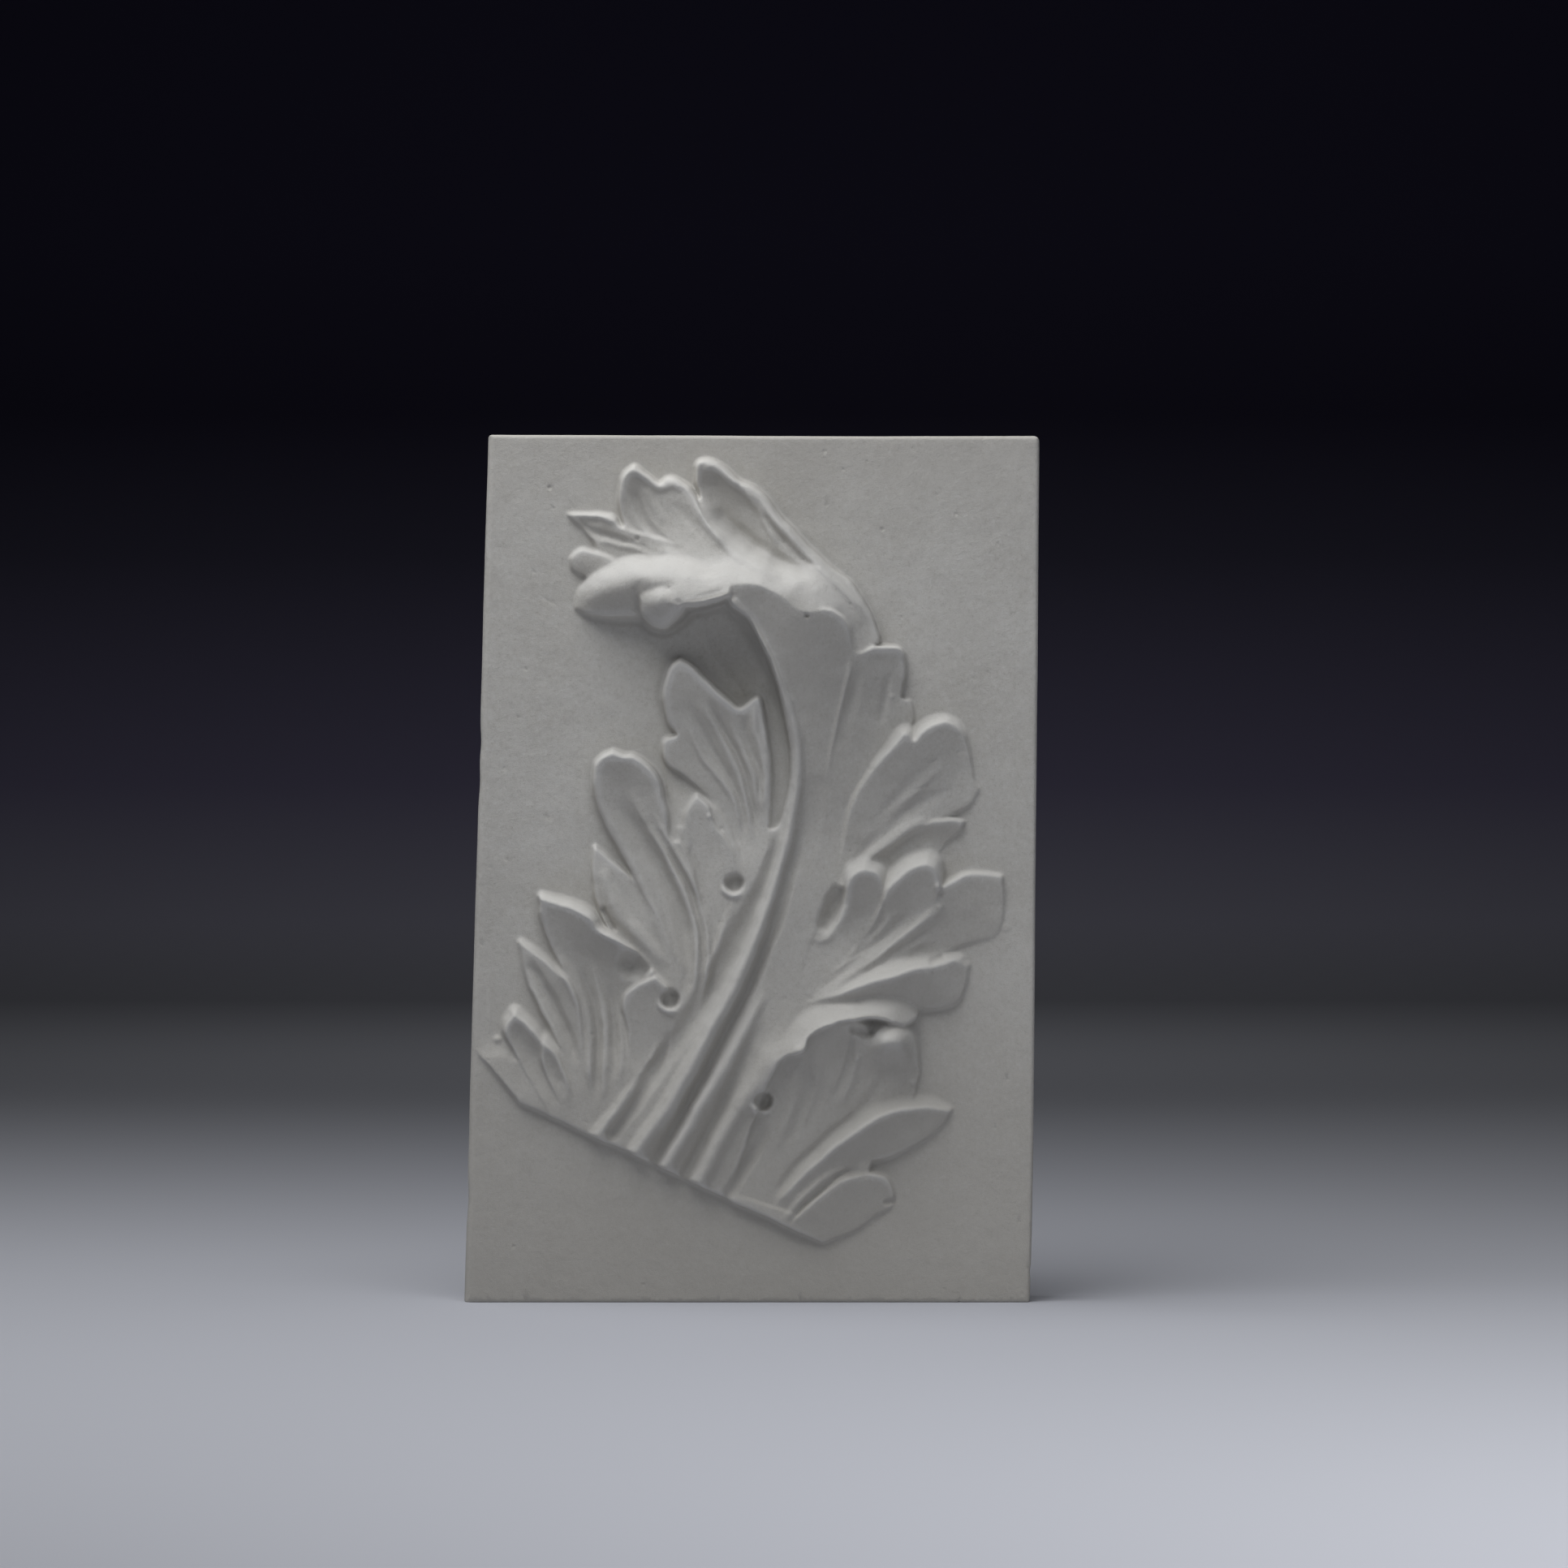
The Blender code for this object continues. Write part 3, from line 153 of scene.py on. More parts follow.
class Relief:
    """Heights over the sketch, in parts, and the tools that carve them."""

    REACH = 22.0     # how far a slope outside an edge can run

    def __init__(self, left, right, foot, top, cell):
        self.cell = cell
        self.edge = max(0.5, 0.9 * cell)    # half the width over which a leaflet's edge turns down
        self.corner = (left, foot)
        self.x, self.z = np.meshgrid(np.arange(left, right + cell, cell), np.arange(foot, top + cell, cell))
        self.h = np.zeros_like(self.x)

    def window(self, points, reach):
        """The part of the grid around some points."""
        low = np.maximum(((np.min(points, 0) - reach - self.corner) / self.cell).astype(int), 0)
        high = np.maximum(((np.max(points, 0) + reach - self.corner) / self.cell).astype(int) + 2, 1)
        return np.s_[low[1]:high[1], low[0]:high[0]]

    def lay(self, outline, anchors, upper, lower, foot, grown=None, merge=0.0):
        """Lay a face through the anchors over what is there, with a wall down from the outline's edge.

        upper and lower are the wall's steepness where it looks up and where it doesn't, and foot is how
        softly it runs out. A face that merges only adds to what is there, with a fillet of that size.
        """
        view = self.window(outline, self.REACH)
        x, z, h = self.x[view], self.z[view], self.h[view]
        beyond = outside_distance(outline, x, z)
        rise_z, rise_x = np.gradient(beyond, self.cell)
        back = np.maximum(beyond, 0)
        face = stretched_skin(anchors, x - back * rise_x, z - back * rise_z)
        if merge:
            face = smooth_max(h, face, merge)
        looks_up = smooth_step(0.0, 0.9, rise_z)
        run = softened(1 / lower + (1 / upper - 1 / lower) * looks_up, 2 / self.cell)
        soft = softened(min(foot, 2.0) + max(foot - 2.0, 0.0) * looks_up, 2 / self.cell)
        wall = smooth_max(h, face - back / run, np.clip(face - h, 0.1, soft))
        covers = smooth_step(self.edge, -self.edge, beyond)
        share = grown(x, z) if grown else 1.0
        self.h[view] = h + (wall * (1 - covers) + face * covers - h) * share

    def leaflet(self, left, right, left_rise, right_rise, hollow=1.5, root=0.3, upper=8.0, lower=10.0,
                foot=2.0):
        """A leaflet between its left and right edges, each drawn from the root to the tip.

        The rises are its edges' heights from root to tip, hollow is how far its middle lies below them,
        and root is the share of its length over which it grows out of what lies behind.
        """
        left, right = smooth_curve(left), smooth_curve(right)
        shares = np.linspace(0, 1, 6)
        a, b = at_shares(left, shares), at_shares(right, shares)
        rise_a, rise_b = spread(left_rise, shares), spread(right_rise, shares)
        middle = (a + b) / 2
        low = (rise_a + rise_b) / 2 - spread(hollow, shares)
        anchors = np.vstack([
            np.column_stack([a, rise_a]),
            np.column_stack([b, rise_b])[:-1],
            np.column_stack([middle, low])[1:-1],
        ])
        spine = smooth_curve(middle)

        def grown(x, z):
            return smooth_step(0, root, nearest(spine, x, z)[1])

        self.lay(np.vstack([left, right[::-1]]), anchors, upper, lower, foot, grown if root else None)

    def sheet(self, outline, anchors, upper=6.0, lower=7.0, foot=2.0, merge=0.0):
        """A free surface inside an outline, through anchors of given height."""
        self.lay(smooth_curve(outline, 4), anchors, upper, lower, foot, merge=merge)

    def stroke(self, path, width, rise, fade=(0.15, 0.15)):
        """A rounded ridge along a path, or a channel where rise is below zero, that fades at its ends."""
        path = smooth_curve(path)
        view = self.window(path, np.max(width) + 1)
        gap, along = nearest(path, self.x[view], self.z[view])
        across = np.clip(gap / spread(width, along), 0, 1)
        strength = spread(rise, along)
        if fade[0]:
            strength = strength * smooth_step(0, fade[0], along)
        if fade[1]:
            strength = strength * smooth_step(0, fade[1], 1 - along)
        self.h[view] += strength * (1 - across**2) ** 2

    def strokes(self, *rows):
        """Several ridges and channels, each given as for stroke."""
        for row in rows:
            self.stroke(*row)

    def drill(self, x, z, radius, depth, run=(0, 0), flat=0.15):
        """A hole that is flat over a share of its radius, or a slot that runs both ways from its middle.

        A depth below zero makes a knob.
        """
        path = np.array([[x - run[0], z - run[1]], [x + run[0] + 1e-6, z + run[1]]])
        view = self.window(path, radius + 4)
        gap, _ = nearest(path, self.x[view], self.z[view])
        self.h[view] -= depth * smooth_step(radius + 0.5, radius * flat, gap)


def stalk_and_blade(relief):
    """The body of the leaf, from the cut stalk up to the rim of the curl."""
    relief.leaflet(
        [(-14, 205), (-4, 235), (4, 262), (5, 300), (2, 345)],
        [(2, 205), (12, 235), (20, 262), (22, 300), (18, 345)], (12, 10, 8, 5.5, 3), (12, 10, 8, 5.5, 3),
        hollow=0, root=0.1, upper=1.0, lower=1.0)
    relief.sheet(
        [(-152, 128), (-120, 100), (-80, 80), (-30, 55), (25, 30), (44, 48), (62, 64), (75, 105), (78, 150),
         (68, 175), (60, 200), (55, 240), (62, 280), (84, 318), (91, 327), (90, 338), (84, 341), (86, 352),
         (86, 363), (82, 369), (69, 369), (62, 367), (60, 378), (53, 389), (40, 393), (26, 394), (10, 403),
         (-4, 406), (-14, 403), (-12, 393), (-2, 385), (4, 374), (11, 360), (16, 345), (20, 325), (22, 300),
         (19, 280), (15, 268), (8, 268), (0, 282), (-12, 286), (-25, 284), (-34, 266), (-42, 243), (-58, 222),
         (-62, 200), (-66, 180), (-80, 165), (-100, 150), (-120, 138), (-145, 135)],
        [(-150, 133, 3), (-100, 100, 5), (-60, 80, 6), (-20, 60, 6), (30, 38, 5), (-60, 150, 8),
         (-45, 200, 9), (-50, 225, 8), (-30, 250, 9), (-20, 275, 9), (-2, 265, 12), (-20, 150, 12),
         (-10, 200, 13), (20, 140, 14), (60, 178, 7), (5, 240, 14), (30, 200, 12), (60, 230, 8),
         (24, 280, 13), (45, 262, 9), (26, 310, 17), (52, 300, 12), (80, 320, 6), (18, 345, 25),
         (50, 345, 21), (68, 345, 14), (84, 345, 6), (0, 385, 35), (-10, 398, 39), (10, 398, 41),
         (30, 387, 39), (52, 380, 30), (66, 366, 20), (82, 367, 11), (40, 365, 30)], upper=20, lower=25)


def lower_left_lobe(relief):
    """Five leaflets that fan out to the left, and the knuckle beside the lowest eye."""
    relief.leaflet(
        [(-128, 108), (-142, 124), (-152, 138)], [(-100, 104), (-118, 122), (-137, 137), (-152, 138)],
        (5, 4, 2), (5, 4, 2), hollow=0, root=0.2, upper=0.35)
    relief.drill(-143, 148, 2.5, -1.5)
    relief.leaflet(
        [(-112, 104), (-128, 132), (-138, 152), (-133, 162)],
        [(-100, 106), (-110, 134), (-123, 153), (-133, 162)], (6, 5, 5, 9), (8, 7, 8, 9), hollow=(1, 4, 3),
        upper=1.6, lower=3)
    relief.leaflet(
        [(-106, 110), (-117, 133), (-117, 146)], [(-100, 112), (-106, 132), (-112, 142), (-117, 146)],
        (7, 6, 9), (8, 8, 9), hollow=(1, 3, 1), root=0.4, upper=1.2, lower=3)
    relief.leaflet(
        [(-98, 110), (-108, 143), (-118, 165), (-127, 184), (-130, 202)],
        [(-88, 110), (-93, 150), (-102, 178), (-110, 187), (-119, 194), (-130, 202)], (7, 5, 4, 3.5, 4.5),
        (8, 8, 8, 8, 6), hollow=(1, 1, 1, 1, 0), root=0.35, upper=1.5, lower=2.5)
    relief.stroke(
        [(-127, 194), (-119, 182), (-109, 164), (-102, 148), (-98, 132)], (3, 4.5, 4, 3),
        (-1.5, -3, -3, -1.5))
    relief.stroke([(-126, 182), (-114, 158), (-106, 141)], 2.5, (1, 1.5, 1))
    relief.leaflet(
        [(-94, 105), (-94, 136), (-98, 172), (-106, 188), (-114, 203), (-118, 216), (-118, 228)],
        [(-60, 130), (-55, 165), (-54, 190), (-65, 200), (-84, 209), (-91, 217), (-102, 223), (-118, 228)],
        (7, 5, 4, 4, 7, 13), (9, 8, 11, 16, 16, 14), hollow=(1, 2, 4, 5, 2, 0), upper=3.5, foot=4)
    relief.strokes(
        ([(-112, 200), (-102, 183), (-94, 165), (-91, 145), (-91, 118)], (4, 6, 5, 4), (1.5, 3, 2.5, 1.5)),
        ([(-98, 190), (-89, 168), (-86, 145), (-88, 115)], (3, 4, 3), (-1, -2, -1)),
        ([(-92, 195), (-84, 170), (-82, 145), (-84, 110)], (3, 4, 3), (1, 2, 1)),
        ([(-80, 180), (-77, 155), (-77, 125)], (3, 3.5), (-1, -2, -1)),
        ([(-74, 165), (-73, 145), (-74, 122)], 3, (0.5, 1.5, 0.5)),
        ([(-94, 221), (-86, 214), (-80, 206), (-70, 202)], 2.5, (1, 2, 1.5)))
    relief.stroke([(-76, 195), (-65, 191), (-57, 185)], (9, 12, 8), (-4, -8, -5), (0.3, 0.1))
    relief.leaflet(
        [(-68, 108), (-69, 150), (-72, 170), (-66, 178), (-52, 184)],
        [(-54, 118), (-46, 150), (-45, 172), (-52, 184)], (8, 6, 9, 14), (7, 6, 10, 14),
        hollow=(0, 0.5, 1, 0.3), root=0.45, upper=4, lower=4)
    relief.stroke([(-65, 128), (-60, 131), (-56, 138), (-53, 147)], 2.0, (0.6, 1.2, 0.6))
    relief.drill(-57.5, 133, 1.6, 1.2, run=(1, 2))


def middle_left_lobe(relief):
    """A long tongue with a shorter leaflet at its left."""
    relief.leaflet(
        [(-46, 172), (-60, 194), (-77, 207), (-86, 222), (-89, 242), (-88, 257)],
        [(-38, 180), (-48, 206), (-58, 226), (-67, 239), (-79, 249), (-88, 257)], (9, 8, 7, 6, 6, 7),
        (8, 7, 6, 5, 6, 7), hollow=(0, -1, -1.5, -1, 0), root=0.2, lower=5)
    relief.stroke([(-85, 248), (-80, 232), (-72, 216), (-58, 201), (-47, 188)], (4, 7, 6, 4), (1, 3, 2.5, 1))
    relief.drill(-80.5, 216, 1.6, 3, run=(3, -5.5))
    relief.leaflet(
        [(-43, 180), (-50, 210), (-62, 232), (-70, 247), (-83, 271), (-88, 286), (-88, 300), (-84, 307),
         (-78, 310)],
        [(-22, 190), (-26, 223), (-36, 252), (-43, 265), (-50, 284), (-52, 294), (-58, 302), (-66, 307.5),
         (-72, 308), (-78, 310)], (10, 8, 6, 6, 7, 12, 16), (12, 11, 10, 10, 12, 15, 16),
        hollow=(0.5, 1, 1, 2, 2.5, 0.5), root=0.2, foot=1)
    relief.strokes(
        ([(-70, 290), (-58, 271), (-47, 251), (-38, 232), (-32, 214), (-30, 192), (-33, 165)], (4, 4, 3.5),
         (1, 3, 3, 1)),
        ([(-60, 281), (-43, 254), (-33, 236), (-27, 214), (-25, 195), (-28, 165)], 3.5, (0.5, 2.5, 2.5, 1)),
        ([(-65, 284), (-51, 262), (-40, 243), (-32, 225), (-27, 200), (-30, 170)], 3.5, (-1, -3, -3, -1)),
        ([(-76, 287), (-62, 263), (-49, 240), (-40, 217), (-36, 190), (-38, 165)], (6, 7, 6, 4),
         (-1.5, -4, -3, -1)),
        ([(-84, 285), (-76, 266), (-64, 243), (-55, 221), (-47, 198), (-42, 175)], (5, 6, 5, 3),
         (1, 2.5, 2.5, 1)),
        ([(-36, 275), (-33, 255), (-27, 235), (-21, 210), (-22, 185), (-29, 160)], (3, 4, 3),
         (-1, -1.5, -1.5, -1)),
        ([(-10, 229), (-17, 207), (-26, 180), (-33, 158)], 3, (1, 2, 2, 0.5)))


def upper_left_lobe(relief):
    """The leaflet that stands under the curl, with a horn against the midrib, and a short one before it."""
    relief.sheet(
        [(22, 318), (20, 345), (10, 366), (0, 384), (-16, 394), (-30, 388), (-24, 368), (-8, 350), (2, 330),
         (8, 316)],
        [(22, 318, 1), (21, 332, 5), (20, 345, 8), (10, 366, 9), (0, 384, 9), (-16, 394, 8), (-30, 388, 1),
         (-24, 368, 0), (-8, 350, 0.5), (2, 330, 0), (8, 316, 0)], merge=0.8)
    relief.sheet(
        [(-50, 305), (-40, 300), (-28, 291), (-20, 283), (-24, 272), (-37, 262), (-46, 262), (-47, 287)],
        [(-49, 303, 1), (-40, 289, 2.5), (-30, 287, 5), (-22, 281, 8), (-35, 279, 5), (-43, 276, 4),
         (-42, 265, 7), (-30, 270, 8)])
    relief.leaflet(
        [(-4, 240), (-10, 262), (-20, 280), (-36, 295), (-48, 304), (-49, 316), (-42, 320), (-47, 328),
         (-49, 343), (-45, 357), (-40, 361)],
        [(5, 240), (10, 270), (11, 295), (9, 315), (6, 332), (3, 340), (-7, 334), (-16, 341), (-26, 350),
         (-34, 358), (-40, 361)], (11, 8, 8, 8, 9, 14, 20), (13, 12, 14, 18, 19, 21, 20),
        hollow=(0, 1, 1, 1, 1), root=0.2)
    relief.strokes(
        ([(-30, 340), (-22, 327), (-12, 308), (-5, 290), (-1, 270), (2, 255)], 3.5, (1, 2, 2, 1)),
        ([(-38, 330), (-28, 308), (-20, 298), (-10, 283), (-5, 262)], 3, (1, 2, 1)),
        ([(-26, 342), (-16, 323), (-6, 303), (0, 282), (3, 262)], 3, (-1, -2, -2, -1)),
        ([(-36, 340), (-25, 317), (-15, 300), (-7, 283), (-3, 262)], 3, (-1, -2, -1)),
        ([(-14, 334), (-6, 314), (1, 295), (4, 275)], 3, (0.5, 1.5, 1)),
        ([(1, 337), (2, 322), (6, 311), (8, 295), (7, 275)], 3, (2, 2, 1.5, 1)),
        ([(-5, 331), (-2, 316), (4, 300), (6, 280)], 3, (-1.5, -2, -1)))
    relief.leaflet(
        [(-26, 195), (-29, 225), (-33.5, 248), (-38, 262), (-37.5, 274), (-31, 285)],
        [(-14, 200), (-10, 235), (-9, 246), (-12, 257), (-16, 263), (-21, 269), (-24, 279), (-31, 285)],
        (10, 9, 8, 7, 8, 11), (12, 12, 13, 13, 12, 11), hollow=(0, -0.5, 0.5, 0.5), root=0.55, upper=3)
    relief.drill(-23.5, 274, 1.5, -1.5)
    relief.drill(-17.5, 266, 1.5, 1.2)
    relief.sheet(
        [(-42, 268), (-36, 267), (-34, 257), (-37, 251), (-42, 257)],
        [(-42, 268, 8), (-36, 267, 8.5), (-34, 257, 8.5), (-37, 251, 8), (-42, 257, 8)], merge=1.0)


def upper_right_lobe(relief):
    relief.leaflet(
        [(50, 250), (66, 262), (84, 273), (97, 274), (104, 271), (111, 271.5), (119, 270.5)],
        [(60, 225), (85, 236), (101, 249), (110, 259), (117, 265), (119, 270.5)], (9, 8, 6, 6, 7, 4),
        (8, 3, 2, 1.5, 1.5, 4), hollow=(0, 1, 1, 0), upper=2.5, lower=3)
    relief.leaflet(
        [(48, 235), (52, 262), (57, 282), (66, 297), (78, 311), (86, 320), (91, 315.5), (96, 321),
         (103, 325.5), (110, 326.5), (117, 322), (122, 311), (124, 300), (125, 294), (128, 289)],
        [(52, 235), (70, 252), (88, 264), (101, 271), (115, 276), (124, 281), (128, 289)],
        (9, 10.5, 13.5, 15, 6, 1.5), (9, 7, 6, 5, 2.5, 1.5), hollow=(0.5, 1, 2, 1.5, 0.5), root=0.15,
        upper=2.6, lower=3, foot=5)
    relief.strokes(
        ([(104, 274), (88, 266), (72, 254), (56, 240), (44, 222)], (4, 6, 6, 4), (1.5, 2.5, 2, 1)),
        ([(116, 288), (98, 283), (82, 273), (68, 260), (56, 244)], (5, 6, 6, 4), (-0.3, -1.3, -1, -0.6)),
        ([(108, 303), (96, 291), (82, 276), (70, 262)], (3, 4, 3), (0.3, 0.9, 0.6)),
        ([(104, 308), (90, 294), (76, 279), (64, 264)], (4, 4, 3), (-0.3, -0.6, -0.4)),
        ([(55.5, 364), (54, 352), (51, 340), (48, 325), (45, 310), (42, 294)], 1.7, (1.3, 1.6, 1.2, 0.5)),
        ([(60, 358), (57, 343), (53, 328), (50, 310)], (4, 6, 5), (-0.8, -1.8, -1.2, -0.4)),
        ([(76, 354), (75, 340), (72, 324)], 3.5, (-0.8, -1.6, -0.6)),
        ([(38, 300), (32, 268), (26, 238)], 9, (-0.8, -1.5, -0.8)))
    relief.drill(78.5, 341.5, 2, -0.8)


def middle_right_lobe(relief):
    """A palm from which four leaflets open like the fingers of a hand."""
    relief.sheet(
        [(26, 176), (34, 205), (48, 232), (56, 238), (64, 240), (74, 231), (84, 238), (98, 243), (104, 232),
         (101, 216), (76, 196), (40, 170)],
        [(28, 180, 12), (34, 205, 11), (48, 232, 11), (64, 239, 13), (74, 230, 8), (84, 237, 11),
         (98, 242, 12), (103, 232, 7), (100, 216, 5), (75, 197, 8), (40, 171, 12), (68, 212, 8)], lower=3)
    relief.leaflet(
        [(30, 178), (80, 208), (106, 233), (114, 238), (123, 242), (141, 240)],
        [(32, 166), (90, 190), (121, 202), (137, 206), (142, 222), (141, 240)], (12, 12, 11, 11, 9, 3.5),
        (12, 7, 4, 1.8, 1, 3.5), hollow=(1, 1, 1, 0.3), lower=3, foot=3)
    relief.leaflet(
        [(20, 165), (60, 178), (88, 187), (103, 190), (114, 192), (122, 190)],
        [(25, 150), (70, 165), (92, 166), (113, 168), (120, 178), (122, 190)], (12, 16, 20, 19, 13, 3),
        (9, 9, 7.5, 5, 3, 3), hollow=(1, 1.5, 0.5, 0.3), upper=1.5, lower=3, foot=5)
    relief.leaflet(
        [(35, 182), (60, 205), (71, 221), (76, 233), (84, 241), (92, 246), (98, 247)],
        [(40, 172), (85, 207), (101, 222), (105, 231), (105, 239), (102, 245), (98, 247)],
        (12, 10, 8, 13, 17, 17), (12, 9, 6.5, 7, 11, 17), hollow=(0.5, 1, 1.5, 0.5), root=0.65, upper=2,
        lower=4, foot=5)
    relief.leaflet(
        [(30, 185), (38, 199), (47, 212), (52, 225), (54, 237), (58, 242), (64, 244)],
        [(40, 178), (62, 205), (70, 219), (74, 230), (73, 238), (70, 242), (64, 244)],
        (12, 11, 11, 14, 18, 18), (12, 9, 8, 8, 13, 18), hollow=(0.5, 1, 1.5, 0.5), root=0.7, upper=1.8,
        lower=5, foot=5)
    relief.strokes(
        ([(104, 206), (90, 201), (76, 194), (56, 184), (35, 172)], 4, (1, 1.3, 1.3, 1)),
        ([(110, 224), (96, 214), (82, 204), (62, 190), (42, 177)], (5, 6, 5), (1.5, 2, 1.5, 1)),
        ([(102, 213), (85, 201), (65, 187), (45, 174)], 3.5, (-1, -1.2, -1.2, -1)),
        ([(92, 222), (78, 208), (62, 195), (44, 181)], 4, (-0.6, -1, -0.5)),
        ([(84, 222), (70, 208), (54, 194)], 3, (0.5, 0.8, 0.5)),
        ([(74, 228), (74, 219), (69, 209), (58, 196)], 3, (-1.5, -1.5, -0.5)))
    relief.drill(104, 193.5, 1.8, 2, run=(2.5, 0.8))
    relief.drill(114, 194, 2.6, -1.5, run=(4, 0))
    relief.drill(105, 234, 3, -2)
    relief.drill(107, 230, 1.5, 1.5)
    relief.drill(106, 223, 2.5, -1.5)


def lower_right_lobe(relief):
    """The broad leaflet beside the stalk, folded back along its top, and two long leaflets below."""
    relief.sheet(
        [(-12, 62), (2, 104), (8, 119), (14, 130), (19, 137), (25, 144), (30, 146), (33, 150), (40, 154.5),
         (50, 157.5), (60, 158), (65, 154), (68, 150), (72, 155), (78, 158), (86, 157), (91, 149),
         (93.5, 137), (94, 127), (91, 116), (82, 103), (60, 88), (25, 50)],
        [(-12, 62, 6), (2, 104, 7), (8, 119, 9), (19, 137, 14), (30, 146, 18), (42, 155, 21), (56, 158, 22),
         (66, 151, 15), (73, 155, 16), (79, 157.5, 15), (86, 156.5, 12), (91, 147, 9), (93.5, 134, 5),
         (93, 120, 3), (68, 146, 17), (75, 148.5, 22), (83, 147.5, 20), (82, 103, 3), (60, 88, 4),
         (25, 50, 4), (30, 100, 8), (50, 120, 9.5), (60, 138, 12), (78, 135, 11), (76, 118, 6), (40, 135, 14),
         (15, 100, 7.5), (48, 148, 18)], upper=2.2, lower=3, foot=7)
    relief.sheet(
        [(-12, 112), (2, 108), (6, 118), (10, 126), (14, 134), (19, 139), (25, 140.5), (30, 143), (31.5, 149),
         (36, 153.5), (42, 156), (50, 159), (58, 160), (66, 161), (74, 160), (80, 158), (88, 157), (93, 161),
         (94, 168), (88, 176), (76, 181), (58, 181), (40, 176), (22, 165), (4, 148), (-6, 128)],
        [(1, 109, 13), (6, 118, 15), (16, 135, 20), (28, 146, 24), (40, 155, 26), (58, 160, 25.5),
         (74, 160, 21), (84, 158, 16), (93, 161, 8), (6, 132, 14), (20, 150, 15), (40, 164, 17),
         (58, 168, 17), (76, 168, 15), (89, 167, 8), (-12, 112, 11), (-4, 130, 11.5), (4, 146, 11.5),
         (22, 165, 9), (40, 176, 8), (58, 181, 6), (76, 181, 4), (88, 176, 3), (94, 168, 2)], upper=1.0,
        lower=14, foot=4, merge=1.5)
    relief.leaflet(
        [(8, 50), (33, 76), (60, 98), (77, 107), (94, 110), (112, 108)],
        [(22, 42), (50, 72), (78, 83), (98, 93), (108, 101), (112, 108)], (6, 10, 13, 15, 11, 3),
        (4, 5, 5.5, 4.5, 3, 3), hollow=(0, 1, 1, 0.5), root=0.15, upper=1.5, lower=3, foot=6)
    relief.leaflet(
        [(16, 40), (36, 58), (46, 66), (54, 70.5), (67, 72.5), (76, 69.5), (80, 63)],
        [(30, 32), (44, 35), (60, 42), (70, 49), (79, 55), (80, 63)], (5, 8, 9, 9, 7, 3),
        (4, 2.5, 2, 1.5, 1.5, 3), hollow=(0, 0.5, 0.5), root=0.15, upper=3.5, lower=3, foot=4)
    relief.strokes(
        ([(31, 146), (33, 132), (29, 112), (20, 86)], 4, (-1, -1.2, -1)),
        ([(44, 152), (43, 136), (38, 116), (28, 92)], 4, (-0.5, -1, -0.5)),
        ([(24, 136), (24, 120), (20, 104), (12, 84)], 3.5, (0.5, 1, 0.5)),
        ([(57, 153), (55.5, 140), (51, 126), (46, 114)], 2.4, (-2, -1.5, -0.6)),
        ([(61, 148), (59.5, 138), (55, 124), (48, 110)], 3, (0.6, 1, 0.5)),
        ([(80, 148), (78, 134), (68, 116), (54, 100)], 5, (-0.5, -1, -0.5)),
        ([(62, 108), (44, 95), (26, 77), (12, 58)], 4, (-1, -1.5, -1)),
        ([(56, 76), (44, 72), (30, 60), (18, 46)], (3, 4, 3), (1, 2.5, 1.5)),
        ([(45, 70.5), (53, 74), (62, 75.5)], 2.0, (-1.5, -2.5, -1)))
    relief.drill(61.5, 153.5, 3.6, 3.4, run=(4, -1))
    relief.drill(26, 143, 3, -1.5)
    relief.drill(59.5, 138, 2.2, -1.5)
    relief.drill(78, 57, 1.8, 1.8, run=(2, 0.5))
    relief.drill(91, 124, 2.2, -1.2)
    relief.drill(86, 126, 1.6, -0.8)
    relief.drill(92.5, 131, 1.6, 1.0)


def midrib_and_pipes(relief):
    """The rib up the middle, and the pipes that run from the cut to the eyes, with valleys between."""
    ridges = [
        ([(-66, 84), (-46, 112), (-25, 150), (-4, 190), (10, 230), (21, 265), (26, 300), (23, 328), (10, 362),
          (-10, 393)], (7, 7, 6.5, 5.5, 5, 4, 4), (5, 6.2, 5.5, 3.8, 3), (0, 0)),
        ([(-49, 76), (-29, 110), (-11, 140), (5, 170), (13, 185)], (6.5, 6, 4), (4, 4, 2), (0, 0.25)),
        ([(-30, 68), (-8, 108), (6, 130), (16, 148), (30, 166)], (7, 8, 9), (4, 3.5, 2), (0, 0.3)),
        ([(-88, 92), (-72, 112), (-60, 130)], (7, 6, 4), (4, 3.5, 2), (0, 0.3)),
    ]
    valleys = [
        ([(16, 265), (6, 232), (-9, 203), (-22, 180), (-38, 154), (-56, 128), (-78, 96)], (4, 8, 9, 8, 7, 6),
         (-3, -4, -4, -4, -4, -3), (0.1, 0)),
        ([(-56, 78), (-37, 110), (-15, 150), (4, 190), (17, 225), (29, 268), (33, 300)], (5, 5, 5, 3.5),
         (-4, -5, -5, -3, -1), (0, 0.3)),
        ([(-38, 72), (-18, 110), (-3, 140), (8, 160)], (5, 5, 4), (-4, -4, -1), (0, 0.25)),
        ([(-14, 60), (4, 90), (10, 104)], (5, 5, 4), (-2, -3, -1), (0, 0.25)),
    ]
    relief.strokes(*ridges, *valleys)


